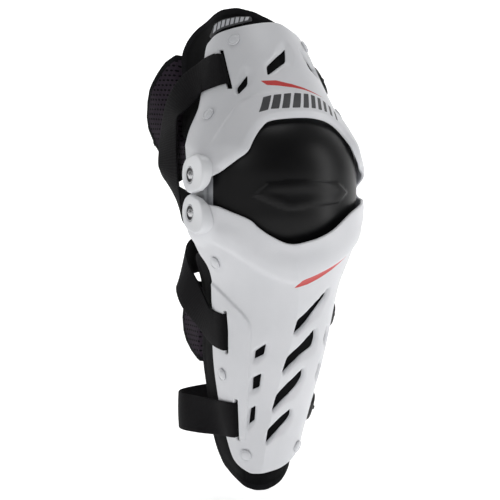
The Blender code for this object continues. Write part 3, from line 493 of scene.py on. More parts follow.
# The skin of a satin moulding: faint flow clouds, a spark-eroded grain and dust in the grain
moulded, given, put = effect_group(
    "moulded_skin",
    {"Place": None, "Colour": (0.8, 0.8, 0.8, 1.0), "Shade": (0.7, 0.7, 0.7, 1.0),
     "Cloud Size": 14.0, "Grain Size": 1500.0, "Roughness": 0.34, "Roughness Spread": 0.08},
    {"Colour": "Color", "Roughness": "Float", "Grain": "Float"})
clouds = nodes_of(moulded, "ShaderNodeTexNoise", Vector=given.outputs["Place"],
                  Scale=given.outputs["Cloud Size"], Detail=5.0, Roughness=0.6)
soft_clouds = nodes_of(moulded, "ShaderNodeMapRange", Value=clouds.outputs["Fac"],
                       From_Min=0.35, From_Max=0.75)
grain = nodes_of(moulded, "ShaderNodeTexNoise", Vector=given.outputs["Place"],
                 Scale=given.outputs["Grain Size"], Detail=3.0, Roughness=0.55)
speck = nodes_of(moulded, "ShaderNodeMapRange", Value=grain.outputs["Fac"],
                 From_Min=0.62, From_Max=0.78, To_Max=0.30)
both = maths(moulded, "MAXIMUM", speck.outputs["Result"], soft_clouds.outputs["Result"])
tint = nodes_of(moulded, "ShaderNodeMix", data_type="RGBA", Factor=both)
moulded.links.new(given.outputs["Colour"], tint.inputs[6])
moulded.links.new(given.outputs["Shade"], tint.inputs[7])
swing = maths(moulded, "MULTIPLY_ADD", clouds.outputs["Fac"], given.outputs["Roughness Spread"],
              given.outputs["Roughness"])
for label, socket in (("Colour", tint.outputs[2]), ("Roughness", swing),
                      ("Grain", grain.outputs["Fac"])):
    moulded.links.new(socket, put.inputs[label])


def fresh_material(name):
    """A new material, its node tree and its shader."""
    material = bpy.data.materials.new(name)
    material.use_nodes = True
    return material, material.node_tree, material.node_tree.nodes["Principled BSDF"]


def moulded_plastic(name, colour, shade, roughness, grain_depth=0.00004, grain_size=1500.0,
                    coat=0.0, specular=0.5):
    """A moulded plastic in one colour, shaded in its clouds, with its grain as a bump."""
    material, tree, shader = fresh_material(name)
    where = tree.nodes.new("ShaderNodeTexCoord")
    skin = tree.nodes.new("ShaderNodeGroup")
    skin.node_tree = moulded
    tree.links.new(where.outputs["Object"], skin.inputs["Place"])
    skin.inputs["Colour"].default_value = (*colour, 1)
    skin.inputs["Shade"].default_value = (*shade, 1)
    skin.inputs["Roughness"].default_value = roughness
    skin.inputs["Grain Size"].default_value = grain_size
    bump = nodes_of(tree, "ShaderNodeBump", Height=skin.outputs["Grain"], Strength=0.6,
                    Distance=grain_depth)
    tree.links.new(skin.outputs["Colour"], shader.inputs["Base Color"])
    tree.links.new(skin.outputs["Roughness"], shader.inputs["Roughness"])
    tree.links.new(bump.outputs["Normal"], shader.inputs["Normal"])
    shader.inputs["Coat Weight"].default_value = coat
    shader.inputs["Coat Roughness"].default_value = 0.25
    shader.inputs["Specular IOR Level"].default_value = specular
    return material


shell_white = moulded_plastic("shell_white", (0.68, 0.685, 0.71), (0.62, 0.63, 0.655), 0.32)
flash_red = moulded_plastic("flash_red", (0.55, 0.055, 0.05), (0.46, 0.04, 0.04), 0.34)
bar_grey = moulded_plastic("bar_grey", (0.055, 0.056, 0.060), (0.12, 0.12, 0.125), 0.36)
for material in (shell_white, bar_grey, flash_red):
    thigh_shell.data.materials.append(material)
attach(thigh_shell, "thigh")
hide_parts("thigh_shell")

# ---- Shin shell -------------------------------------------------------------------------------
# The second white moulding runs from the knee to the ankle. It has a crest down the shin, long
# slanted vents beside it, small vents on the outer side and two slots for the calf straps.

SMALL_VENT_ROUND = 0.0014
LONG_CHAMFER, LONG_CHAMFER_REACH = 0.0026, 0.0078
SMALL_CHAMFER, SMALL_CHAMFER_REACH = 0.0022, 0.0052
CREST_RISE, CREST_WIDTH, STEP_RISE, KNEE_ROLL = 0.0022, 0.017, 0.0015, 0.0022
SHIN_RIVETS = ((-75.0, -0.0635), (-84.0, -0.1715), (-52.0, -0.2495),
               (38.0, -0.2440), (84.0, -0.1560), (76.0, -0.0735))
LONG_VENTS = (
    ((-3.0, -0.1297), (-1.0, -0.1165), (26.5, -0.0885), (26.0, -0.0950), (21.0, -0.1010),
     (6.0, -0.1200)),
    ((-9.0, -0.1675), (-6.0, -0.1525), (19.5, -0.1270), (22.0, -0.1360), (20.5, -0.1440),
     (6.5, -0.1518)),
    ((-15.5, -0.2050), (-12.0, -0.1890), (13.0, -0.1650), (15.0, -0.1730), (10.0, -0.1818),
     (1.0, -0.1910)),
    ((-20.0, -0.2365), (-18.5, -0.2235), (8.0, -0.2045), (9.5, -0.2110), (5.5, -0.2162),
     (-4.0, -0.2256)))
SMALL_VENTS = (
    ((-39.5, -0.1465), (-28.5, -0.1395), (-30.0, -0.1495), (-40.0, -0.1540)),
    ((-41.0, -0.1725), (-31.5, -0.1685), (-33.0, -0.1815), (-41.5, -0.1845)),
    ((-44.0, -0.2035), (-37.5, -0.2005), (-38.5, -0.2145), (-47.0, -0.2190)),
    ((39.5, -0.1265), (48.5, -0.1335), (48.0, -0.1430), (40.0, -0.1370)),
    ((39.5, -0.1600), (47.5, -0.1640), (47.0, -0.1770), (41.0, -0.1730)))
SHIN_SLOTS = (
    ((-75.0, -0.1090), (-70.5, -0.1090), (-71.5, -0.1500), (-76.0, -0.1500)),
    ((-66.0, -0.1940), (-61.0, -0.1940), (-62.0, -0.2350), (-67.0, -0.2350)))
SHIN_CREST = ((62.0, -0.0090), (46.0, -0.0120), (30.0, -0.0185), (12.0, -0.0345),
              (-3.0, -0.0430), (-14.5, -0.0445), (-26.0, -0.0375), (-34.5, -0.0290),
              (-41.0, -0.0215), (-61.0, -0.0110))
SHIN_RIM = ((-95.0, -0.0420), (-93.0, -0.0530), (-86.0, -0.0710), (-90.0, -0.0980),
            (-97.0, -0.1300), (-100.0, -0.1600), (-100.0, -0.2000), (-94.0, -0.2300),
            (-80.0, -0.2550), (-50.0, -0.2665), (-30.0, -0.2680), (-4.0, -0.2655),
            (16.0, -0.2610), (40.0, -0.2530), (70.0, -0.2400), (90.0, -0.2200),
            (98.0, -0.1900), (98.0, -0.1600), (95.0, -0.1300), (90.0, -0.0980),
            (88.0, -0.0710), (92.0, -0.0530), (94.0, -0.0420))
# The crest down the shin, the crease under the knee and the step beside the small vents
SHIN_RIDGE = ((-10.0, -0.0620), (-5.0, -0.0900), (-3.5, -0.1150), (-5.5, -0.1400),
              (-10.0, -0.1650), (-15.0, -0.2000), (-20.0, -0.2350), (-22.0, -0.2560))
KNEE_CREASE = ((-84.0, -0.0420), (-72.0, -0.0440), (-59.0, -0.0505), (-44.0, -0.0620),
               (-28.0, -0.0735), (-8.0, -0.0800), (4.0, -0.0755), (20.0, -0.0665),
               (36.0, -0.0575), (58.0, -0.0470), (84.0, -0.0420))
PANEL_STEP = ((-88.0, -0.0830), (-81.0, -0.0870), (-67.0, -0.0980), (-47.0, -0.1170),
              (-45.0, -0.1400), (-45.5, -0.1800), (-48.5, -0.2180), (-52.0, -0.2330))
SHIN_FLASH = ((-9.0, -0.0848), (0.0, -0.0822), (10.0, -0.0772), (21.0, -0.0700), (38.0, -0.0575),
              (22.0, -0.0648), (8.0, -0.0718), (-4.0, -0.0770))

shin_outline = ear_arc(SHIN_FORM, -PIVOT_Z, 135, -20, 1)[::-1] + smooth(SHIN_CREST)
shin_outline += ear_arc(SHIN_FORM, -PIVOT_Z, 135, -20, -1) + smooth(SHIN_RIM)
long_vents = [rounded(vent, VENT_ROUND) for vent in LONG_VENTS]
small_vents = [rounded(vent, SMALL_VENT_ROUND) for vent in SMALL_VENTS]
shin_holes = [*long_vents, *small_vents, *[rounded(slot, SLOT_ROUND) for slot in SHIN_SLOTS]]
shin_holes += [round_hole(SHIN_FORM, *place, RIVET_HOLE) for place in SHIN_RIVETS]
shin_holes += [ear_arc(SHIN_FORM, -PIVOT_Z, 0, 345, side, BORE_RADIUS, 23) for side in (-1, 1)]
shin_lines = [smooth(PANEL_STEP, 6), smooth(KNEE_CREASE, 6), smooth(SHIN_RIDGE, 6)]
spots, faces, rim, marks = cut_pattern(shin_outline, shin_holes, shin_lines,
                                       [rounded(SHIN_FLASH, 0.0008, 3)])
step, crease, ridge = (np.array(line) * (DEGREE, 1) for line in shin_lines)
relief = CREST_RISE * np.clip(1 - gap(spots, ridge, closed=False) / CREST_WIDTH, 0, 1) ** 1.3
beside = within(spots, np.vstack([step, [(-0.130, -0.240), (-0.130, -0.083)]]))
from_step = gap(spots, step, closed=False) * np.where(beside, 1, -1)
relief += STEP_RISE * ramp(from_step, -0.0006, 0.0008) * ramp(from_step, 0.034, 0.010)
above = within(spots, np.vstack([crease, [(0.100, 0.02), (-0.100, 0.02)]]))
from_crease = gap(spots, crease, closed=False) * np.where(above, 1, -1)
fade = ramp(np.abs(spots[:, 0]), 0.084, 0.060)
relief += (KNEE_ROLL * ramp(from_crease, -0.0030, 0.0035) * ramp(from_crease, 0.026, 0.008)
           * fade)
for vent in long_vents:
    relief -= vent_recess(spots, vent, LONG_CHAMFER, LONG_CHAMFER_REACH, (0.8, -0.6))
for vent in small_vents:
    relief -= vent_recess(spots, vent, SMALL_CHAMFER, SMALL_CHAMFER_REACH, (-0.5, -0.9), 0.0024)
for place in SHIN_RIVETS:
    relief -= dish(spots, place, RIVET_SEAT, SEAT_DEPTH)
shin_shell = plate("shin_shell_moulding", lambda *place: on_leg(SHIN_FORM, *place),
                   (spots, faces), relief - rim_round(rim),
                   np.clip(relief - THINNEST, -0.0036, -SHELL_THICKNESS + rim_round(rim)), marks)
shin_shell.data.materials.append(shell_white)
shin_shell.data.materials.append(flash_red)
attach(shin_shell, "shin")
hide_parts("shin_shell")

# ---- Knee cup ---------------------------------------------------------------------------------
# A black satin dome that both shells slide over, with a shallow six-sided lens moulded in its
# front. Its grey ears carry the hinge screws.

CUP_RADIUS, CUP_HALF_WIDTH, CUP_THICKNESS = 0.0655, 0.0800, 0.0030
CUP_EDGE, CUP_WRAP = 78.0, 64
EAR_PATCH = ((70.5, -0.022), (70.5, 0.022), (77.4, 0.022), (77.4, -0.022))
CUP_EAR = (0.0778, 0.0808)               # a grey ear's inner and outer face
CUP_EAR_ROUND, CUP_EAR_EDGE = 0.0150, 0.0007
LENS_RIM, LENS_MIDDLE = 0.0010, 0.0006
LENS = ((-37.0, 0.0000), (-28.0, 0.0105), (-2.0, 0.0125), (26.0, 0.0095), (36.0, 0.0010),
        (26.0, -0.0080), (4.0, -0.0105), (-14.0, -0.0135), (-28.0, -0.0060))


def on_cup(angle, along, rise=0.0):
    """Points on the cup: turned about each hinge axis, straight between the two."""
    turn = np.radians(angle)
    radius = (CUP_RADIUS + rise) * np.cos(turn)
    tilt = np.maximum(np.abs(along) - PIVOT_Z, 0) / CUP_RADIUS
    height = np.copysign(np.minimum(np.abs(along), PIVOT_Z) + radius * np.sin(tilt), along)
    return np.stack([(CUP_HALF_WIDTH + rise) * np.sin(turn),
                     PIVOT_Y - radius * np.cos(tilt), height], -1)


def join_to(piece, other):
    """Makes another piece part of this one."""
    for item in (piece, other):
        item.select_set(True)
    bpy.context.view_layer.objects.active = piece
    bpy.ops.object.join()
    bpy.ops.object.select_all(action="DESELECT")


cup_reach = PIVOT_Z + CUP_RADIUS * math.radians(CUP_WRAP)
cup_outline = rounded(((-CUP_EDGE, -cup_reach), (CUP_EDGE, -cup_reach),
                       (CUP_EDGE, cup_reach), (-CUP_EDGE, cup_reach)), 0.030, 16)
lens = np.array(rounded(LENS, 0.0010, 3)) * (DEGREE, 1)
lens_line = [tuple(point / (DEGREE, 1)) for point in [*lens, lens[0]]]
ear_patches = [[(side * angle, height) for angle, height in EAR_PATCH] for side in (-1, 1)]
spots, faces, rim, marks = cut_pattern(cup_outline, [], [lens_line], ear_patches, net=0.0023)
into_lens = gap(spots, lens) * np.where(within(spots, lens), 1, -1)
relief = LENS_RIM * ramp(into_lens, -0.0009, 0.0006) * ramp(into_lens, 0.0120, 0.0010)
relief += LENS_MIDDLE * ramp(into_lens, 0.0, 0.006)
knee_cup = plate("knee_cup_moulding", on_cup, (spots, faces), relief - rim_round(rim),
                 -CUP_THICKNESS + rim_round(rim), np.minimum(marks, 1))
cup_black = moulded_plastic("cup_black", (0.0020, 0.0020, 0.0024), (0.0045, 0.0045, 0.005), 0.33,
                            0.00003, 1100.0, specular=0.22)
ear_grey = moulded_plastic("ear_grey", (0.36, 0.37, 0.39), (0.28, 0.29, 0.31), 0.32)
for material in (cup_black, ear_grey):
    knee_cup.data.materials.append(material)

for side in (-1, 1):
    ear = []
    for turn in range(0, 181, 10):
        ear.append((PIVOT_Y + CUP_EAR_ROUND * math.cos(math.radians(turn)),
                    PIVOT_Z + CUP_EAR_ROUND * math.sin(math.radians(turn))))
    ear += [(y, -z) for y, z in reversed(ear)]
    bm = bmesh.new()
    corners = [bm.verts.new((side * CUP_EAR[0], y, z)) for y, z in ear]
    bm.faces.new(corners)
    out = bmesh.ops.extrude_face_region(bm, geom=bm.faces[:], use_keep_orig=True)
    for item in out["geom"]:
        if isinstance(item, bmesh.types.BMVert):
            item.co.x = side * CUP_EAR[1]
    outer_edges = [edge for edge in bm.edges
                   if all(abs(vert.co.x) > CUP_EAR[1] - 1e-5 for vert in edge.verts)]
    bmesh.ops.bevel(bm, geom=outer_edges, offset=CUP_EAR_EDGE, segments=3, affect="EDGES",
                    profile=0.5)
    bmesh.ops.recalc_face_normals(bm, faces=bm.faces[:])
    mesh = bpy.data.meshes.new("ear")
    bm.to_mesh(mesh)
    bm.free()
    for material in (cup_black, ear_grey):
        mesh.materials.append(material)
    mesh.polygons.foreach_set("material_index", np.ones(len(mesh.polygons), np.int32))
    join_to(knee_cup, in_scene("ear", mesh))
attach(knee_cup, "knee")
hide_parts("knee_cup")

# ---- Hinge hardware ---------------------------------------------------------------------------
# A D-shaped white cover is pressed round each hinge screw. The screw's head lies in it, dished
# and dark, with a bright six-sided boss that a key turns.

CAP_FACES = (0.0856, 0.0892)             # from the middle of the guard, across
CAP_BORE, BORE_STEPS = 0.0080, 48
# Up the skirt, round the shoulder and over the face: outset and share of the height
CAP_SHOULDER = ((0.0010, 0.0), (0.0008, 0.25), (0.0, 0.80), (-0.0005, 0.92), (-0.0013, 0.98),
                (-0.0023, 1.0), (-0.0040, 0.97))
# Down into the bore: widening and depth below the face
CAP_BORE_LIP = ((0.0010, 0.0001), (0.0004, 0.0003), (0.0, 0.0010),
                (0.0, CAP_FACES[1] - CAP_FACES[0]))
BOSS_RADIUS, BOSS_DEPTH, BOSS_MIDDLE = 0.0043, 0.0016, 0.0878
DISH_FLOOR, DISH_RADIUS = 0.0869, 0.0066
INNER_CAP_RADIUS = 0.0130
CAP_FRONT = ((-0.010, 0.0185), (-0.020, 0.0170), (-0.0265, 0.0120),
             (-0.0285, 0.0030), (-0.0260, -0.0070), (-0.0195, -0.0130))


def shaped(name, bm, sharp):
    """A piece from shaped faces, turned outward, smooth except at its sharp edges."""
    bmesh.ops.recalc_face_normals(bm, faces=bm.faces[:])
    mesh = bpy.data.meshes.new(name)
    bm.to_mesh(mesh)
    bm.free()
    mesh.shade_smooth()
    mesh.set_sharp_from_angle(angle=math.radians(sharp))
    return in_scene(name, mesh)


def revolved(name, profile, place, axis, segments=48):
    """A turned piece: a profile of (radius, height) spun about an axis, closed at radius 0."""
    bm = bmesh.new()
    line = [bm.verts.new((radius, 0, height)) for radius, height in profile]
    edges = [bm.edges.new(pair) for pair in zip(line, line[1:])]
    if profile[0][0] and profile[-1][0]:
        edges.append(bm.edges.new((line[-1], line[0])))
    bmesh.ops.spin(bm, geom=line + edges, angle=math.tau, steps=segments, axis=(0, 0, 1),
                   cent=(0, 0, 0), use_merge=True)
    bmesh.ops.remove_doubles(bm, verts=bm.verts[:], dist=1e-6)
    turn = Vector((0, 0, 1)).rotation_difference(Vector(axis).normalized())
    bm.transform(Matrix.Translation(place) @ turn.to_matrix().to_4x4())
    return shaped(name, bm, 42)


def hinge_cap(name, form, pivot_z, side, shape):
    """A cover with a skirt that meets the shell, a rounded shoulder and a bore for the screw."""
    bm = bmesh.new()
    middle = Vector((PIVOT_Y - 0.003, pivot_z))
    bore_turns = np.linspace(0, math.tau, BORE_STEPS, endpoint=False)
    bore = [(math.cos(turn), math.sin(turn)) for turn in bore_turns]
    feet = []
    for y, z in shape:
        shell = leg_face(form, side_angle(form, y, z, side), z)
        feet.append(abs(float(shell[0])) + 0.0003)
    rows = []
    for outset, lift in CAP_SHOULDER:
        row = []
        for (y, z), foot in zip(shape, feet):
            outward = (Vector((y, z)) - middle).normalized() * outset
            height = foot + (CAP_FACES[1] - foot) * lift
            row.append(bm.verts.new((side * height, y + outward.x, z + outward.y)))
        rows.append(row)
    for low, high in zip(rows, rows[1:]):
        for step in range(len(shape)):
            after = (step + 1) % len(shape)
            bm.faces.new((low[step], low[after], high[after], high[step]))
    rings = []
    for widening, below in CAP_BORE_LIP:
        radius, height = CAP_BORE + widening, CAP_FACES[1] - below
        rings.append([bm.verts.new((side * height, PIVOT_Y + y * radius, pivot_z + z * radius))
                      for y, z in bore])
    for low, high in zip(rings, rings[1:]):
        for step in range(BORE_STEPS):
            after = (step + 1) % BORE_STEPS
            bm.faces.new((low[step], low[after], high[after], high[step]))
    for outer, inner in ((rows[-1], rings[0]), (rows[0], rings[-1])):
        edges = [bm.edges.get((loop[step], loop[(step + 1) % len(loop)]))
                 for loop in (outer, inner) for step in range(len(loop))]
        bmesh.ops.triangle_fill(bm, use_beauty=True, use_dissolve=False, edges=edges)
    return shaped(name, bm, 50)


def metal(name, colour, roughness, brush_scale=900.0, depth=0.00002):
    """Machined steel: fine tool marks in its tone, roughness and bump."""
    material, tree, shader = fresh_material(name)
    where = tree.nodes.new("ShaderNodeTexCoord")
    brush = nodes_of(tree, "ShaderNodeTexNoise", Vector=where.outputs["Object"],
                     Scale=brush_scale, Detail=4.0)
    rough = nodes_of(tree, "ShaderNodeMapRange", Value=brush.outputs["Fac"],
                     To_Min=roughness - 0.08, To_Max=roughness + 0.12)
    tone = nodes_of(tree, "ShaderNodeMix", data_type="RGBA", Factor=brush.outputs["Fac"],
                    in_6=(*[value * 0.75 for value in colour], 1), in_7=(*colour, 1))
    bump = nodes_of(tree, "ShaderNodeBump", Height=brush.outputs["Fac"], Strength=0.5,
                    Distance=depth)
    tree.links.new(tone.outputs[2], shader.inputs["Base Color"])
    tree.links.new(rough.outputs["Result"], shader.inputs["Roughness"])
    tree.links.new(bump.outputs["Normal"], shader.inputs["Normal"])
    shader.inputs["Metallic"].default_value = 1.0
    return material


cap_white = moulded_plastic("cap_white", (0.73, 0.74, 0.76), (0.68, 0.69, 0.72), 0.28)
screw_dark = moulded_plastic("screw_dish", (0.030, 0.030, 0.032), (0.07, 0.07, 0.075), 0.40)
screw_steel = metal("screw_steel", (0.66, 0.66, 0.68), 0.26)
nylon = moulded_plastic("washer_nylon", (0.62, 0.63, 0.65), (0.52, 0.53, 0.55), 0.45)
SCREW_PROFILE = ((0, 0.0731), (0.0036, 0.0731), (0.0036, 0.0857), (0.0074, 0.0857),
                 (0.0075, 0.0882), (0.0073, 0.0887), (0.0068, 0.0888), (0.0064, 0.0884),
                 (0.0061, 0.0874), (0.0030, 0.0872), (0, 0.0872))
for level, form, up, body in (("upper", THIGH_FORM, 1, "thigh"), ("lower", SHIN_FORM, -1, "shin")):
    pivot_z = up * PIVOT_Z
    back_turns = np.radians(np.arange(-100, 81, 6))
    drawn_out = [(EAR_RADIUS * math.cos(turn), EAR_RADIUS * math.sin(turn))
                 for turn in back_turns] + smooth(CAP_FRONT, 6)
    drawn_out = [(PIVOT_Y + y, pivot_z + up * z) for y, z in drawn_out]
    low_round = [(PIVOT_Y + INNER_CAP_RADIUS * math.cos(turn),
                  pivot_z + INNER_CAP_RADIUS * math.sin(turn))
                 for turn in np.linspace(0, math.tau, 60, endpoint=False)]
    for hand, side, shape in (("outer", -1, drawn_out), ("inner", 1, low_round)):
        label = f"{level}_{hand}"
        cap = hinge_cap(f"hinge_cover_{label}", form, pivot_z, side, shape)
        cap.data.materials.append(cap_white)
        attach(cap, body)
        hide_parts(f"hinge_cap_{label}")
        screw = revolved(f"shoulder_screw_{label}", SCREW_PROFILE, (0, PIVOT_Y, pivot_z),
                         (side, 0, 0))
        screw.data.materials.append(screw_steel)
        screw.data.materials.append(screw_dark)
        for face in screw.data.polygons:
            reach = math.hypot(face.center.y - PIVOT_Y, face.center.z - pivot_z)
            face.material_index = int(abs(face.center.x) > DISH_FLOOR and reach < DISH_RADIUS)
        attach(screw, "knee")
        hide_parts(f"hinge_screw_{label}")
        bpy.ops.mesh.primitive_cylinder_add(vertices=6, radius=BOSS_RADIUS, depth=BOSS_DEPTH,
                                            location=(side * BOSS_MIDDLE, PIVOT_Y, pivot_z),
                                            rotation=(0, math.pi / 2, math.radians(18)))
        boss = bpy.context.object
        boss.name = f"screw_boss_{label}"
        bpy.ops.object.mode_set(mode="EDIT")
        bpy.ops.mesh.select_all(action="SELECT")
        bpy.ops.mesh.bevel(offset=0.0011, segments=3)
        bpy.ops.object.mode_set(mode="OBJECT")
        bpy.ops.object.transform_apply(location=True, rotation=True, scale=True)
        bpy.ops.object.shade_smooth()
        boss.data.materials.append(screw_steel)
        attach(boss, "knee")
        bpy.ops.object.select_all(action="DESELECT")
        for kind, material in (("washer", nylon), ("nut", screw_steel)):
            hardware = frame["nodes"][f"hinge_{kind}_{label}"]
            hardware.data.materials.clear()
            hardware.data.materials.append(material)

# ---- Rivets -----------------------------------------------------------------------------------
# White button rivets join liner and shell. Each has a domed face inside a fine ring groove.

RIVET_PROFILE = ((0, -0.0032), (0.0021, -0.0032), (0.0021, -0.0004), (0.0056, -0.0004),
                 (0.0059, 0.0002), (0.0059, 0.0010), (0.0056, 0.0014), (0.0052, 0.0015),
                 (0.0049, 0.0012), (0.0046, 0.0012), (0.0043, 0.0015), (0.0030, 0.0019),
                 (0.0015, 0.0021), (0, 0.0021))
rivet_white = moulded_plastic("rivet_white", (0.66, 0.67, 0.69), (0.60, 0.61, 0.64), 0.22)
for group, form, places in (("thigh", THIGH_FORM, THIGH_RIVETS), ("shin", SHIN_FORM, SHIN_RIVETS)):
    for number, (angle, height) in enumerate(places, 1):
        rivet = revolved(f"{group}_button_{number}", RIVET_PROFILE,
                         leg_face(form, angle, height).tolist(),
                         leg_normal(form, angle, height).tolist(), 40)
        rivet.data.materials.append(rivet_white)
        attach(rivet, group)
        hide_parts(f"{group}_rivet_{number}")

# ---- Padded liners ----------------------------------------------------------------------------
# Foam pads covered in black jersey, behind each shell and in the cup. Their edges are bound and
# they are quilted along sewn channels, so the foam swells between the seams.

LINER_FACES = (-0.0043, -0.0104)         # outer and inner, below the shells' outer face
THIGH_LINER = ((-97.0, 0.0500), (-75.0, 0.0560), (-55.0, 0.0680), (-38.0, 0.0840),
               (-18.0, 0.0920), (10.0, 0.0930), (38.0, 0.0840), (55.0, 0.0680),
               (75.0, 0.0560), (97.0, 0.0520), (97.0, 0.1250), (88.0, 0.1420),
               (60.0, 0.1530), (30.0, 0.1580), (12.0, 0.1640), (-12.0, 0.1720),
               (-40.0, 0.1755), (-66.0, 0.1740), (-80.0, 0.1705), (-92.0, 0.1660),
               (-106.0, 0.1585), (-115.0, 0.1480), (-121.0, 0.1350), (-122.0, 0.1200),
               (-121.0, 0.1000), (-119.5, 0.0800), (-115.0, 0.0620), (-109.0, 0.0530))
SHIN_LINER = ((-120.0, -0.0780), (-121.0, -0.1000), (-127.0, -0.1250), (-133.0, -0.1500),
              (-135.0, -0.1700), (-135.0, -0.2350), (-128.0, -0.2540), (-117.0, -0.2680),
              (-95.0, -0.2770), (-62.0, -0.2835), (-35.0, -0.2860), (-8.0, -0.2855),
              (22.0, -0.2790), (48.0, -0.2700), (75.0, -0.2620), (100.0, -0.2520),
              (114.0, -0.2360), (120.0, -0.2050), (120.0, -0.1650), (118.0, -0.1500),
              (112.0, -0.1250), (106.5, -0.1000), (105.0, -0.0740), (96.0, -0.0600),
              (80.0, -0.0620), (62.0, -0.0760), (40.0, -0.0900), (0.0, -0.0960),
              (-40.0, -0.0900), (-62.0, -0.0760), (-80.0, -0.0620), (-96.0, -0.0600),
              (-108.0, -0.0580), (-117.0, -0.0640))
THIGH_CHANNELS = (((-70.0, 0.060), (-70.0, 0.168)), ((-40.0, 0.086), (-40.0, 0.172)),
                  ((0.0, 0.097), (0.0, 0.165)), ((40.0, 0.088), (40.0, 0.153)),
                  ((70.0, 0.062), (70.0, 0.146)))
SHIN_CHANNELS = (((-90.0, -0.068), (-93.0, -0.256)), ((-60.0, -0.082), (-60.0, -0.272)),
                 ((-24.0, -0.097), (-24.0, -0.278)), ((24.0, -0.097), (24.0, -0.272)),
                 ((60.0, -0.082), (60.0, -0.260)), ((90.0, -0.068), (90.0, -0.240)))
KNEE_CHANNELS = (((-30.0, -0.060), (-30.0, 0.060)), ((0.0, -0.060), (0.0, 0.060)),
                 ((30.0, -0.060), (30.0, 0.060)))
CUSHION_EDGE, CUSHION_WRAP = 60, 52
BINDING_WIDTH = 0.0050
SWELL_OUT, SWELL_IN, SWELL_FRAMES = 0.0003, 0.0018, 20
SEAM_DEPTH, SEAM_WIDTH = 0.55, 0.0028    # how far a channel pinches the foam, as a share


def inset_loop(outline, distance):
    """A closed outline moved inward by a distance, in the pattern's own units."""
    loop = divided(outline, RIM_STEP)
    across = sideways(np.roll(loop, -1, axis=0) - np.roll(loop, 1, axis=0))
    if not within(loop[:1] + across[:1] * 1e-4, loop)[0]:
        across = -across
    moved = loop + across * distance
    return [tuple(spot / (DEGREE, 1)) for spot in moved[gap(moved, loop) > distance * 0.97]]


def swell(pad, held):
    """Foam swelling under its cover: cloth under pressure, held along its seams."""
    group = pad.vertex_groups.new(name="held")
    group.add([int(number) for number in np.nonzero(held)[0]], 1.0, "REPLACE")
    rest = np.zeros(len(pad.data.vertices) * 3, np.float32)
    pad.data.vertices.foreach_get("co", rest)
    normals = np.zeros(len(rest), np.float32)
    pad.data.vertices.foreach_get("normal", normals)
    cloth = pad.modifiers.new("swell", "CLOTH")
    cloth.settings.quality = 4
    cloth.settings.mass = 0.2
    cloth.settings.vertex_group_mass = "held"
    cloth.settings.use_pressure = True
    cloth.settings.uniform_pressure_force = 4.0
    cloth.settings.tension_stiffness = 8.0
    cloth.settings.compression_stiffness = 8.0
    cloth.settings.bending_stiffness = 0.3
    cloth.settings.effector_weights.gravity = 0
    for number in range(1, SWELL_FRAMES + 1):
        bpy.context.scene.frame_set(number)
    evaluated = pad.evaluated_get(bpy.context.evaluated_depsgraph_get())
    swollen = np.zeros(len(rest), np.float32)
    evaluated.data.vertices.foreach_get("co", swollen)
    pad.modifiers.clear()
    bpy.context.scene.frame_set(1)
    rest, normals, swollen = (array.reshape(-1, 3) for array in (rest, normals, swollen))
    lift = np.einsum("ij,ij->i", swollen - rest, normals)
    half = len(lift) // 2
    lift[:half] = np.clip(lift[:half], 0, SWELL_OUT)
    lift[half:] = np.clip(lift[half:], 0, SWELL_IN)
    swollen = rest + normals * np.where(held, 0, lift)[:, None]
    pad.data.vertices.foreach_set("co", swollen.astype(np.float32).ravel())
    pad.data.update()


def quilted_pad(name, wrap, outline, channels, middle, half_thickness):
    """A foam pad with a bound edge, sewn through along its channels."""
    lines = [[tuple(point) for point in divided(line, 0.004, closed=False) / (DEGREE, 1)]
             for line in channels]
    border = inset_loop(outline, BINDING_WIDTH)
    spots, faces, rim, marks = cut_pattern(outline, [], lines, [border], net=0.0034)
    seam = np.min([gap(spots, np.array(line) * (DEGREE, 1), closed=False) for line in lines],
                  axis=0)
    edge = np.sqrt(np.clip(rim / 0.0012, 0, 1))
    thick = half_thickness * (0.30 + 0.70 * ramp(rim, BINDING_WIDTH, 0.016))
    thick = np.where(rim < BINDING_WIDTH, half_thickness * (0.22 + 0.20 * edge), thick)
    thick *= 1 - SEAM_DEPTH * np.exp(-(seam / SEAM_WIDTH) ** 2) * ramp(rim, 0.004, 0.010)
    pad = plate(name, wrap, (spots, faces), middle + (half_thickness + thick) * 0.5,
                middle - thick, 1 - marks)
    held = np.tile((rim < BINDING_WIDTH + 0.0008) | (seam < 0.0012), 2)
    swell(pad, held)
    return pad


# Black cloth: threads crossed at a size, painted paler on their crowns and darker between them as
# painted highlight and shade, with stray lint between them
woven, given, put = effect_group(
    "woven_cloth",
    {"Place": None, "Colour": (0.02, 0.02, 0.02, 1.0), "Lint And Highlight": (0.05, 0.05, 0.05, 1.0),
     "Across": 900.0, "Along": 900.0, "Lint": 0.25},
    {"Colour": "Color", "Height": "Float"})
split = nodes_of(woven, "ShaderNodeSeparateXYZ", Vector=given.outputs["Place"])
across = maths(woven, "MULTIPLY", split.outputs["X"], given.outputs["Across"])
along = maths(woven, "MULTIPLY", split.outputs["Y"], given.outputs["Along"])
wave_across, wave_along = (maths(woven, "SINE", value) for value in (across, along))
knit = maths(woven, "MULTIPLY", wave_across, wave_along)
ribs = maths(woven, "MULTIPLY_ADD", wave_across, 0.5, knit)
height = nodes_of(woven, "ShaderNodeMapRange", Value=ribs, From_Min=-1.5, From_Max=1.5)
lint = nodes_of(woven, "ShaderNodeTexNoise", Vector=given.outputs["Place"], Scale=260.0,
                Detail=6.0, Roughness=0.7)
lint_mask = nodes_of(woven, "ShaderNodeMapRange", Value=lint.outputs["Fac"], From_Min=0.45,
                     From_Max=0.85, To_Max=given.outputs["Lint"])
# The paler colour follows the thread height, as a painted highlight on the crowns and painted
# shade in the grooves, and it also lies on the lint
lint_and_highlight = maths(woven, "MULTIPLY_ADD", height.outputs["Result"], 0.45, lint_mask.outputs["Result"])
tone = nodes_of(woven, "ShaderNodeMix", data_type="RGBA", Factor=lint_and_highlight)
woven.links.new(given.outputs["Colour"], tone.inputs[6])
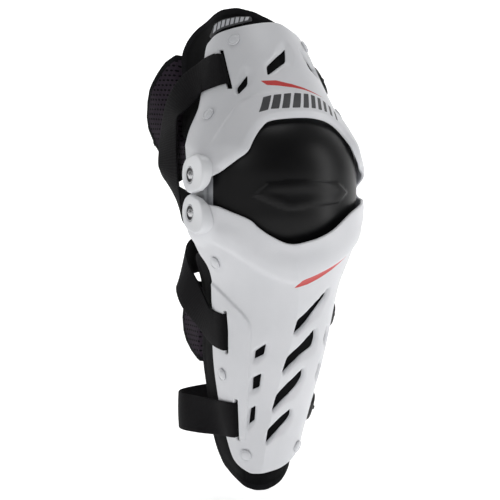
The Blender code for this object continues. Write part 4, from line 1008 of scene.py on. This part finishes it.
woven.links.new(given.outputs["Lint And Highlight"], tone.inputs[7])
woven.links.new(tone.outputs[2], put.inputs["Colour"])
woven.links.new(height.outputs["Result"], put.inputs["Height"])


def cloth_material(name, colour, lint_and_highlight, across, along, depth, chart="pattern", sheen=0.03):
    """A black cloth whose threads follow the piece's own flat chart."""
    material, tree, shader = fresh_material(name)
    where = nodes_of(tree, "ShaderNodeUVMap", uv_map=chart)
    threads = tree.nodes.new("ShaderNodeGroup")
    threads.node_tree = woven
    tree.links.new(where.outputs["UV"], threads.inputs["Place"])
    threads.inputs["Colour"].default_value = (*colour, 1)
    # the paler colour: a painted highlight on the thread crowns, and the lint
    threads.inputs["Lint And Highlight"].default_value = (*lint_and_highlight, 1)
    threads.inputs["Across"].default_value = across
    threads.inputs["Along"].default_value = along
    bump = nodes_of(tree, "ShaderNodeBump", Height=threads.outputs["Height"], Strength=0.8,
                    Distance=depth)
    tree.links.new(threads.outputs["Colour"], shader.inputs["Base Color"])
    tree.links.new(bump.outputs["Normal"], shader.inputs["Normal"])
    shader.inputs["Roughness"].default_value = 0.88
    shader.inputs["Specular IOR Level"].default_value = 0.07
    shader.inputs["Sheen Weight"].default_value = sheen
    shader.inputs["Sheen Roughness"].default_value = 0.5
    return material


jersey = cloth_material("liner_jersey", (0.0025, 0.0025, 0.0030), (0.008, 0.008, 0.009),
                        5200.0, 5200.0, 0.00015)
binding = cloth_material("edge_binding", (0.005, 0.005, 0.006), (0.015, 0.015, 0.017),
                         3600.0, 2400.0, 0.00025)
middle = (LINER_FACES[0] + LINER_FACES[1]) / 2
half_thickness = (LINER_FACES[0] - LINER_FACES[1]) / 2
knee_reach = PIVOT_Z + CUP_RADIUS * math.radians(CUSHION_WRAP)
knee_outline = rounded(((-CUSHION_EDGE, -knee_reach), (CUSHION_EDGE, -knee_reach),
                        (CUSHION_EDGE, knee_reach), (-CUSHION_EDGE, knee_reach)), 0.025, 8)
for name, node, body, wrap, outline, channels in (
        ("thigh_liner_pad", "thigh_liner", "thigh", lambda *place: on_leg(THIGH_FORM, *place),
         rounded(THIGH_LINER, 0.006, 4), THIGH_CHANNELS),
        ("shin_liner_pad", "shin_liner", "shin", lambda *place: on_leg(SHIN_FORM, *place),
         rounded(SHIN_LINER, 0.006, 4), SHIN_CHANNELS),
        ("knee_cushion", "knee_pad", "knee", on_cup, knee_outline, KNEE_CHANNELS)):
    pad = quilted_pad(name, wrap, outline, channels, middle, half_thickness)
    pad.data.materials.append(jersey)
    pad.data.materials.append(binding)
    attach(pad, body)
    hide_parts(node)

# ---- Badge ------------------------------------------------------------------------------------
# A moulded rubber tab welded to the thigh liner's top edge, with slanted silver bars printed on.

BADGE = ((-83.0, 0.1475), (-74.0, 0.1600), (-60.0, 0.1640), (-40.0, 0.1665), (-20.0, 0.1665),
         (-19.0, 0.1625), (-40.0, 0.1590), (-60.0, 0.1555), (-72.0, 0.1515), (-79.0, 0.1460))
BADGE_FACES, PRINT_HEIGHT = (-0.0013, -0.0025), 0.00015
badge_low = ((-82.0, 0.1472), (-72.0, 0.1528), (-60.0, 0.1568), (-40.0, 0.1602), (-20.0, 0.1635))
badge_high = ((-78.0, 0.1535), (-72.0, 0.1595), (-60.0, 0.1628), (-40.0, 0.1655), (-20.0, 0.1657))
badge_bars = slanted_bars(badge_low, badge_high, np.arange(-76.0, -27.0, 6.6), [4.6] * 8, 2.6)
spots, faces, rim, marks = cut_pattern(rounded(BADGE, 0.002, 4), [], prints=badge_bars)
raised = np.zeros(len(spots))
raised[np.unique(faces[marks > 0])] = PRINT_HEIGHT
badge = plate("liner_tab", lambda *place: on_leg(THIGH_FORM, *place), (spots, faces),
              BADGE_FACES[0] + raised - rim_round(rim) * 0.5, BADGE_FACES[1],
              np.minimum(marks, 1))
badge.data.materials.append(moulded_plastic("tab_rubber", (0.035, 0.035, 0.038),
                                            (0.055, 0.055, 0.06), 0.55))
badge.data.materials.append(moulded_plastic("tab_silver", (0.52, 0.53, 0.56),
                                            (0.42, 0.43, 0.46), 0.35))
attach(badge, "thigh")
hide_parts("liner_badge")

# ---- Mesh wings -------------------------------------------------------------------------------
# Thin panels of plum-black spacer mesh reach back from the liners round the leg. Staggered rows
# of small oval holes let air through, and a folded tape binds their edges.

WING_FACES, WING_SAG = (-0.0041, -0.0066), 0.0004
THIGH_WING = ((-98.5, 0.0235), (-106.0, 0.0175), (-114.0, 0.0125), (-122.0, 0.0100),
              (-132.0, 0.0130), (-146.0, 0.0245), (-160.0, 0.0345), (-176.0, 0.0480),
              (-183.0, 0.0600), (-183.0, 0.0720), (-176.0, 0.0870), (-167.0, 0.0980),
              (-155.0, 0.1090), (-138.0, 0.1260), (-124.0, 0.1350), (-124.0, 0.1200),
              (-123.0, 0.1000), (-121.5, 0.0790), (-117.0, 0.0605), (-110.0, 0.0510),
              (-98.5, 0.0480))
INNER_WING = ((97.6, 0.1240), (110.0, 0.1250), (125.0, 0.1200), (140.0, 0.1080),
              (152.0, 0.0900), (160.0, 0.0700), (159.0, 0.0520), (148.0, 0.0390),
              (125.0, 0.0290), (97.6, 0.0300))
CALF_WING = ((-122.8, -0.0880), (-138.0, -0.0850), (-153.0, -0.0930), (-166.0, -0.1080),
             (-173.5, -0.1260), (-173.0, -0.1390), (-168.0, -0.1490), (-158.0, -0.1580),
             (-146.0, -0.1650), (-137.0, -0.1680), (-134.8, -0.1500), (-128.8, -0.1250),
             (-122.8, -0.1000))
INNER_CALF_WING = tuple((-angle - 14.0, height) for angle, height in reversed(CALF_WING))

# Holes of a knitted spacer mesh, as a mask: 1 inside a hole
holes_group, given, put = effect_group(
    "mesh_holes", {"Place": None, "Pitch": 0.0048, "Hole": 0.36}, {"Hole": "Float"})
split = nodes_of(holes_group, "ShaderNodeSeparateXYZ", Vector=given.outputs["Place"])
column, row = (maths(holes_group, "DIVIDE", split.outputs[axis], given.outputs["Pitch"])
               for axis in ("X", "Y"))
odd_row = maths(holes_group, "MODULO", maths(holes_group, "FLOOR", row), 2.0)
shifted = maths(holes_group, "MULTIPLY_ADD", maths(holes_group, "ABSOLUTE", odd_row), 0.5, column)
near = []
for value, stretch in ((shifted, 1.0), (row, 1.5)):
    from_middle = maths(holes_group, "SUBTRACT", maths(holes_group, "FRACT", value), 0.5)
    near.append(maths(holes_group, "POWER", maths(holes_group, "MULTIPLY", from_middle, stretch),
                      2.0))
far = maths(holes_group, "SQRT", maths(holes_group, "ADD", *near))
size_low = maths(holes_group, "MULTIPLY", given.outputs["Hole"], 0.75)
hole = nodes_of(holes_group, "ShaderNodeMapRange", Value=far, From_Min=size_low,
                From_Max=given.outputs["Hole"], To_Min=1.0, To_Max=0.0)
holes_group.links.new(hole.outputs["Result"], put.inputs["Hole"])

spacer_mesh = cloth_material("spacer_mesh", (0.020, 0.014, 0.022), (0.055, 0.043, 0.058),
                             5000.0, 5000.0, 0.00020)
tree = spacer_mesh.node_tree
shader = tree.nodes["Principled BSDF"]
where = nodes_of(tree, "ShaderNodeUVMap", uv_map="pattern")
punched = tree.nodes.new("ShaderNodeGroup")
punched.node_tree = holes_group
tree.links.new(where.outputs["UV"], punched.inputs["Place"])
# Each hole is painted near black: painted shade where the mesh is open
dark = nodes_of(tree, "ShaderNodeMix", data_type="RGBA", Factor=punched.outputs["Hole"],
                in_7=(0.002, 0.002, 0.003, 1))
tree.links.new(shader.inputs["Base Color"].links[0].from_socket, dark.inputs[6])
tree.links.new(dark.outputs[2], shader.inputs["Base Color"])
solid = maths(tree, "SUBTRACT", 1.0, punched.outputs["Hole"])
pits = nodes_of(tree, "ShaderNodeBump", Height=solid, Strength=1.0, Distance=0.0006,
                Normal=shader.inputs["Normal"].links[0].from_socket)
tree.links.new(pits.outputs["Normal"], shader.inputs["Normal"])


def tucked(outline, liner):
    """A wing's outline with the edge that meets a liner moved in under its binding."""
    liner_loop = divided(liner, RIM_STEP)
    moved = []
    for spot in divided(outline, 0.0030):
        offsets = liner_loop - spot
        lengths = np.linalg.norm(offsets, axis=1)
        nearest = int(np.argmin(lengths))
        if lengths[nearest] < SEAM_REACH and not within(spot[None], liner_loop)[0]:
            spot = liner_loop[nearest] + offsets[nearest] / lengths[nearest] * TUCK
        moved.append(tuple(spot / (DEGREE, 1)))
    return moved


SEAM_REACH, TUCK, TUCK_DROP, TAPE_WIDTH = 0.0042, 0.0035, 0.0052, 0.0048
for name, node, body, form, outline, liner in (
        ("thigh_mesh_outer", "thigh_wing_outer", "thigh", THIGH_FORM, THIGH_WING, THIGH_LINER),
        ("thigh_mesh_inner", "thigh_wing_inner", "thigh", THIGH_FORM, INNER_WING, THIGH_LINER),
        ("calf_mesh_outer", "calf_wing_outer", "shin", SHIN_FORM, CALF_WING, SHIN_LINER),
        ("calf_mesh_inner", "calf_wing_inner", "shin", SHIN_FORM, INNER_CALF_WING, SHIN_LINER)):
    liner = rounded(liner, 0.006, 4)
    outline = tucked(outline, liner)
    spots, faces, rim, marks = cut_pattern(outline, [], [], [inset_loop(outline, TAPE_WIDTH)],
                                           net=0.0030)
    liner_loop = np.array(liner) * (DEGREE, 1)
    clear = gap(spots, liner_loop) * np.where(within(spots, liner_loop), -1, 1)
    drop = TUCK_DROP * ramp(clear, 0.0070, 0.0008)
    tape = ramp(rim, TAPE_WIDTH + 0.0004, TAPE_WIDTH - 0.0004)
    edge = 1 - np.sqrt(1 - (1 - np.clip(rim / 0.0011, 0, 1)) ** 2)
    sag = WING_SAG * np.sin(spots[:, 0] * 190) * np.sin(spots[:, 1] * 150)
    thin = 0.0005 * (1 - tape) + 0.0010 * edge
    wing = plate(name, lambda *place, form=form: on_leg(form, *place), (spots, faces),
                 WING_FACES[0] - drop - thin + sag * (1 - tape),
                 WING_FACES[1] - drop + thin * 0.5 + sag * (1 - tape),
                 1 - marks)
    wing.data.materials.append(spacer_mesh)
    wing.data.materials.append(binding)
    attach(wing, body)
    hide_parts(node)

# ---- Strap hooks ------------------------------------------------------------------------------
# Each strap ends in a glossy black moulded hook. It swings on the bar that the strap is sewn
# round, and its keyhole snaps over a stud on the shell's inner side.

HOOK_REACH, BAR_RADIUS, BAR_RISE = 24.0, 0.0018, 0.0026
STUD_INSET, KEYHOLE_RADIUS, HOOK_FACES = 8.0, 0.0042, (0.0036, 0.0010)
HOOK_RECESS, GRIP_HEIGHT = 0.0009, 0.0008
HOOKS = {"thigh": (THIGH_FORM, 89.0, 0.0850, 0.1250, "thigh"),
         "upper_calf": (SHIN_FORM, 92.0, -0.1360, -0.0990, "shin"),
         "lower_calf": (SHIN_FORM, 89.0, -0.2270, -0.1890, "shin")}
STUD_PROFILE = ((0, 0.0004), (0.0029, 0.0004), (0.0029, 0.0009), (0.0023, 0.0014),
                (0.0020, 0.0034), (0.0023, 0.0044), (0.0023, 0.0051), (0.0018, 0.0057),
                (0.0010, 0.0059), (0, 0.0059))
hook_black = moulded_plastic("hook_black", (0.012, 0.012, 0.013), (0.022, 0.022, 0.024), 0.22,
                             0.00002, 1300.0, coat=0.3)
for name, (form, angle, low, high, body) in HOOKS.items():
    middle_height, tip = (low + high) / 2, angle - HOOK_REACH
    outline = rounded(((angle, low + 0.002), (angle, high - 0.002), (tip + 6.0, high - 0.007),
                       (tip, middle_height + 0.006), (tip, middle_height - 0.006),
                       (tip + 6.0, low + 0.007)), 0.004, 6)
    keyhole = round_hole(form, tip + STUD_INSET, middle_height, KEYHOLE_RADIUS)
    spots, faces, rim, _ = cut_pattern(outline, [keyhole], net=0.0016)
    floor_depth = HOOK_RECESS * ramp(rim, 0.0016, 0.0028)
    grip = np.abs(np.sin((spots[:, 0] / DEGREE - angle) * 0.75)) ** 3
    ribbed = ramp(spots[:, 0] / DEGREE, tip + 13.5, tip + 15.5)
    ribbed *= ramp(spots[:, 0] / DEGREE, angle - 1.0, angle - 3.0) * ramp(rim, 0.002, 0.004)
    hook = plate(f"{name}_snap_hook", lambda *place, form=form: on_leg(form, *place),
                 (spots, faces),
                 HOOK_FACES[0] - rim_round(rim) - floor_depth + GRIP_HEIGHT * grip * ribbed,
                 HOOK_FACES[1] + rim_round(rim) * 0.5)
    start, end = (on_leg(form, angle, height, BAR_RISE) for height in (low, high))
    length = float(np.linalg.norm(end - start))
    bar = revolved("bar", ((0, 0), (0.0013, 0), (BAR_RADIUS, 0.0005),
                           (BAR_RADIUS, length - 0.0005), (0.0013, length), (0, length)),
                   start.tolist(), (end - start).tolist(), 24)
    join_to(hook, bar)
    hook.data.materials.clear()
    hook.data.materials.append(hook_black)
    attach(hook, f"{name}_hook")
    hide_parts(f"{name}_hook")
    stud = revolved(f"{name}_snap_stud", STUD_PROFILE,
                    leg_face(form, tip + STUD_INSET, middle_height).tolist(),
                    leg_normal(form, tip + STUD_INSET, middle_height).tolist(), 32)
    stud.data.materials.append(hook_black)
    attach(stud, body)
    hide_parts(f"{name}_stud")

# ---- Elastic straps ---------------------------------------------------------------------------
# Three ribbed elastic straps, 36 mm wide. Each one comes out of a slot in its shell, runs round
# behind the leg, and is folded over its hook's bar and sewn down on itself.

STRAP_WIDTH, STRAP_THICKNESS, STRAP_RISE = 0.0360, 0.0018, 0.0024
STRAP_CURL, HALF_WIDTH = 0.0150, STRAP_WIDTH / 2
LAP_WIDTH, LAP_THICKNESS, LAP_DROP = 0.0350, 0.0014, 0.0019
BACK_CENTRE = np.array((0, 0.048, 0))


def resting(form, angle, height, rise=STRAP_RISE, slant=None):
    """A place on a strap's route on the shell, the way it faces, and the way its edge runs."""
    edge = (0, 0, 0)
    if slant is not None:
        edge = (leg_face(form, angle + slant, height + HALF_WIDTH)
                - leg_face(form, angle - slant, height - HALF_WIDTH))
    return (*on_leg(form, angle, height, rise), *leg_normal(form, angle, height), *edge)


def behind(x, y, z):
    """A place behind the leg, facing away from the leg's middle."""
    outward = (np.array((x, y, z)) - BACK_CENTRE) * (1, 1, 0)
    return (x, y, z, *(outward / np.linalg.norm(outward)), 0, 0, 0)


def over_bar(form, angle, low, high):
    """The places where a strap runs up to a hook's bar and turns over it."""
    start, end = (on_leg(form, angle, height, BAR_RISE) for height in (low, high))
    outward = leg_normal(form, angle, (low + high) / 2)
    back = np.cross(outward, start - end)
    back *= math.copysign(1, back[1]) / np.linalg.norm(back)
    outward = np.cross(back, start - end)
    outward *= math.copysign(1, outward @ leg_normal(form, angle, (low + high) / 2))
    outward /= np.linalg.norm(outward)
    middle = (start + end) / 2
    places = [(middle + back * STRAP_CURL, outward),
              (middle + back * 0.0090 + outward * 0.0008, outward)]
    for turn in (35, 60, 88):
        facing = back * math.cos(math.radians(turn)) + outward * math.sin(math.radians(turn))
        places.append((middle + facing * (BAR_RADIUS + 0.0012), facing))
    return [(*place, *facing, 0, 0, 0) for place, facing in places], (middle, back, outward)


def elastic_band(name, route, width=STRAP_WIDTH, thickness=STRAP_THICKNESS, steps=9):
    """A flat strap with soft edges along a route, charted across and along its own web."""
    line = np.array(smooth(route, steps))
    places, facing, slant = line[:, :3], line[:, 3:6], line[:, 6:]
    ahead = np.gradient(places, axis=0)
    ahead /= np.linalg.norm(ahead, axis=1, keepdims=True)
    facing = facing - ahead * np.einsum("ij,ij->i", facing, ahead)[:, None]
    facing /= np.linalg.norm(facing, axis=1, keepdims=True)
    across = np.cross(facing, ahead)
    amount = np.clip(np.linalg.norm(slant, axis=1) / STRAP_WIDTH, 0, 1)[:, None]
    slant = slant * np.sign(np.einsum("ij,ij->i", slant, across))[:, None]
    across = across * (1 - amount) + slant / STRAP_WIDTH * amount
    across /= np.linalg.norm(across, axis=1, keepdims=True)
    travel = np.concatenate([[0], np.cumsum(np.linalg.norm(np.diff(places, axis=0), axis=1))])
    ring = []
    for side in (1, -1):
        flat = side * np.linspace(-0.5, 0.5, 13) * (width - thickness)
        ring += [(reach, side * thickness / 2) for reach in flat]
        for turn in np.radians((60, 20, -20, -60)):
            ring.append((side * ((width - thickness) + thickness * math.cos(turn)) / 2,
                         side * thickness * math.sin(turn) / 2))
    ring = np.array(ring)
    count = len(ring)
    # the web cups a little where it runs free
    cup = 0.0006 * np.cos(ring[:, 0] / width * math.pi) - 0.0006
    verts = (places[:, None] + across[:, None] * ring[None, :, :1]
             + facing[:, None] * (ring[:, 1] + cup)[None, :, None]).reshape(-1, 3)
    faces, charts = [], []
    for row in range(len(places) - 1):
        for column in range(count):
            after = (column + 1) % count
            faces.append((row * count + column, row * count + after,
                          (row + 1) * count + after, (row + 1) * count + column))
            charts += [(ring[column][0], travel[row]), (ring[after][0], travel[row]),
                       (ring[after][0], travel[row + 1]), (ring[column][0], travel[row + 1])]
    last = (len(places) - 1) * count
    for cap, row in ((tuple(range(count)), 0), (tuple(range(last, last + count)), -1)):
        faces.append(cap)
        charts += [(ring[number % count][0], travel[row]) for number in cap]
    mesh = bpy.data.meshes.new(name)
    mesh.from_pydata(verts.tolist(), [], faces)
    chart = mesh.uv_layers.new(name="web")
    chart.data.foreach_set("uv", np.array(charts).ravel())
    bm = bmesh.new()
    bm.from_mesh(mesh)
    bpy.data.meshes.remove(mesh)
    return shaped(name, bm, 60)


elastic = cloth_material("ribbed_elastic", (0.0016, 0.0015, 0.0018), (0.017, 0.016, 0.019),
                         4400.0, 2600.0, 0.00030, chart="web", sheen=0.05)
ROUTES = {
    "thigh": ("thigh_strap", "thigh_web", [
        resting(THIGH_FORM, -58.6, 0.1155, -0.0018, -4.3),
        resting(THIGH_FORM, -59.4, 0.1155, 0.0004, -4.3),
        resting(THIGH_FORM, -61.6, 0.1153, 0.0020, -4.2),
        resting(THIGH_FORM, -66.0, 0.1145, slant=-2.5),
        resting(THIGH_FORM, -76.0, 0.1125), resting(THIGH_FORM, -88.0, 0.1080, 0.0030),
        behind(-0.0700, 0.0400, 0.0950), behind(-0.0810, 0.0480, 0.0740),
        behind(-0.0870, 0.0430, 0.0480), behind(-0.0880, 0.0400, 0.0200),
        behind(-0.0740, 0.0520, -0.0060), behind(-0.0450, 0.0780, -0.0200),
        behind(0, 0.0890, -0.0240), behind(0.0450, 0.0780, -0.0160),
        behind(0.0770, 0.0520, 0.0060), behind(0.0890, 0.0430, 0.0330),
        behind(0.0880, 0.0480, 0.0620), behind(0.0780, 0.0500, 0.0850)]),
    "upper_calf": ("upper_calf_strap", "upper_calf_web", [
        resting(SHIN_FORM, -73.2, -0.1295, -0.0018, 0.5),
        resting(SHIN_FORM, -74.0, -0.1295, 0.0004, 0.5),
        resting(SHIN_FORM, -76.4, -0.1294, 0.0020, 0.4),
        resting(SHIN_FORM, -82.0, -0.1285), resting(SHIN_FORM, -91.0, -0.1265),
        resting(SHIN_FORM, -105.0, -0.1190, 0.0034),
        behind(-0.0690, 0.0330, -0.0980), behind(-0.0700, 0.0480, -0.0780),
        behind(-0.0560, 0.0660, -0.0660), behind(-0.0300, 0.0800, -0.0620),
        behind(0, 0.0840, -0.0640), behind(0.0320, 0.0780, -0.0740),
        behind(0.0580, 0.0600, -0.0920), behind(0.0660, 0.0360, -0.1080)]),
    "lower_calf": ("lower_calf_strap", "lower_calf_web", [
        resting(SHIN_FORM, -64.0, -0.2145, -0.0018, 0.5),
        resting(SHIN_FORM, -64.9, -0.2145, 0.0004, 0.5),
        resting(SHIN_FORM, -67.6, -0.2147, 0.0020, 0.4),
        resting(SHIN_FORM, -74.0, -0.2148), resting(SHIN_FORM, -84.0, -0.2152),
        resting(SHIN_FORM, -103.0, -0.2160, 0.0034),
        behind(-0.0530, 0.0540, -0.2170), behind(-0.0570, 0.0800, -0.2175),
        behind(-0.0480, 0.1000, -0.2170), behind(-0.0250, 0.1080, -0.2155),
        behind(0.0050, 0.1060, -0.2135), behind(0.0330, 0.0930, -0.2115),
        behind(0.0480, 0.0680, -0.2095), behind(0.0510, 0.0400, -0.2080)])}
for name, (node, label, route) in ROUTES.items():
    form, angle, low, high, body = HOOKS[name]
    last_places, (middle, back, outward) = over_bar(form, angle, low, high)
    web = elastic_band(label, route + last_places)
    lap = [(*(middle + back * reach - outward * LAP_DROP), *outward, 0, 0, 0)
           for reach in (0.0026, 0.0070, 0.0120, 0.0165)]
    join_to(web, elastic_band(f"{label}_lap", lap, LAP_WIDTH, LAP_THICKNESS))
    web.data.materials.clear()
    web.data.materials.append(elastic)
    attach(web, body)
    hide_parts(node)
    if name == "thigh":
        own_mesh(web)
    if name == "upper_calf":
        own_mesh(web)

# ---- Studio -----------------------------------------------------------------------------------
# A plain pale floor and wall, three soft lamps, and a long lens a little above the knee.

KNEE_IN_VIEW = (20.0, -58.0)            # the knee's place from the view's middle, in 500ths
VIEW_SCALE = 0.00095                    # metres for each of those 500ths, at the knee
CAMERA_DISTANCE = 1.60
CAMERA_TURN, CAMERA_RISE = math.radians(27), math.radians(4)
SENSOR = 36.0
SHEET_SIZE, FLOOR_DROP, WALL_DISTANCE, PAPER_GLOW = 12, 0.012, 3.2, 0.62
ROOM_GLOW = 0.16

back = Vector((-math.sin(CAMERA_TURN) * math.cos(CAMERA_RISE),
               -math.cos(CAMERA_TURN) * math.cos(CAMERA_RISE), math.sin(CAMERA_RISE)))
right = Vector((math.cos(CAMERA_TURN), -math.sin(CAMERA_TURN), 0))
up = back.cross(right)
aim = right * -KNEE_IN_VIEW[0] * VIEW_SCALE + up * KNEE_IN_VIEW[1] * VIEW_SCALE
camera_data = bpy.data.cameras.new("camera")
camera = bpy.data.objects.new("camera", camera_data)
bpy.context.scene.collection.objects.link(camera)
camera.location = aim + back * CAMERA_DISTANCE
camera.rotation_euler = Matrix((right, up, back)).transposed().to_euler()
camera_data.sensor_width = SENSOR
camera_data.lens = SENSOR * CAMERA_DISTANCE / (500 * VIEW_SCALE)
bpy.context.scene.camera = camera

paper, _, sheet = fresh_material("studio_paper")
sheet.inputs["Base Color"].default_value = (0.95, 0.95, 0.95, 1)
sheet.inputs["Roughness"].default_value = 0.9
sheet.inputs["Emission Color"].default_value = (1, 1, 1, 1)
sheet.inputs["Emission Strength"].default_value = PAPER_GLOW
bpy.ops.mesh.primitive_plane_add(size=SHEET_SIZE, location=(0, 0, cad_box[0][2] - FLOOR_DROP))
floor = bpy.context.object
floor.name = "studio_floor"
bpy.ops.mesh.primitive_plane_add(size=SHEET_SIZE, location=back * -WALL_DISTANCE,
                                 rotation=(math.pi / 2, 0, 0))
wall = bpy.context.object
wall.name = "studio_wall"
wall.rotation_euler.z = -CAMERA_TURN
for screen in (floor, wall):
    screen.data.materials.append(paper)

world = bpy.data.worlds.new("studio")
bpy.context.scene.world = world
world.use_nodes = True
world.node_tree.nodes["Background"].inputs["Color"].default_value = (1, 1, 1, 1)
world.node_tree.nodes["Background"].inputs["Strength"].default_value = ROOM_GLOW


def softbox(name, place, size, power, target=(0, 0, -0.05)):
    lamp = bpy.data.lights.new(name, "AREA")
    lamp.shape = "RECTANGLE"
    lamp.size, lamp.size_y = size
    lamp.energy = power
    holder = bpy.data.objects.new(name, lamp)
    holder.location = place
    aim_line = Vector(target) - Vector(place)
    holder.rotation_euler = aim_line.to_track_quat("-Z", "Y").to_euler()
    bpy.context.scene.collection.objects.link(holder)


softbox("key_left", (-1.5, -0.9, 1.0), (0.8, 1.3), 5.0)
softbox("fill_right", (1.3, -1.0, 0.3), (0.30, 1.5), 8.0)
softbox("top", (0.1, 0.1, 1.7), (1.0, 0.8), 7)
bpy.context.scene.view_settings.view_transform = "Standard"
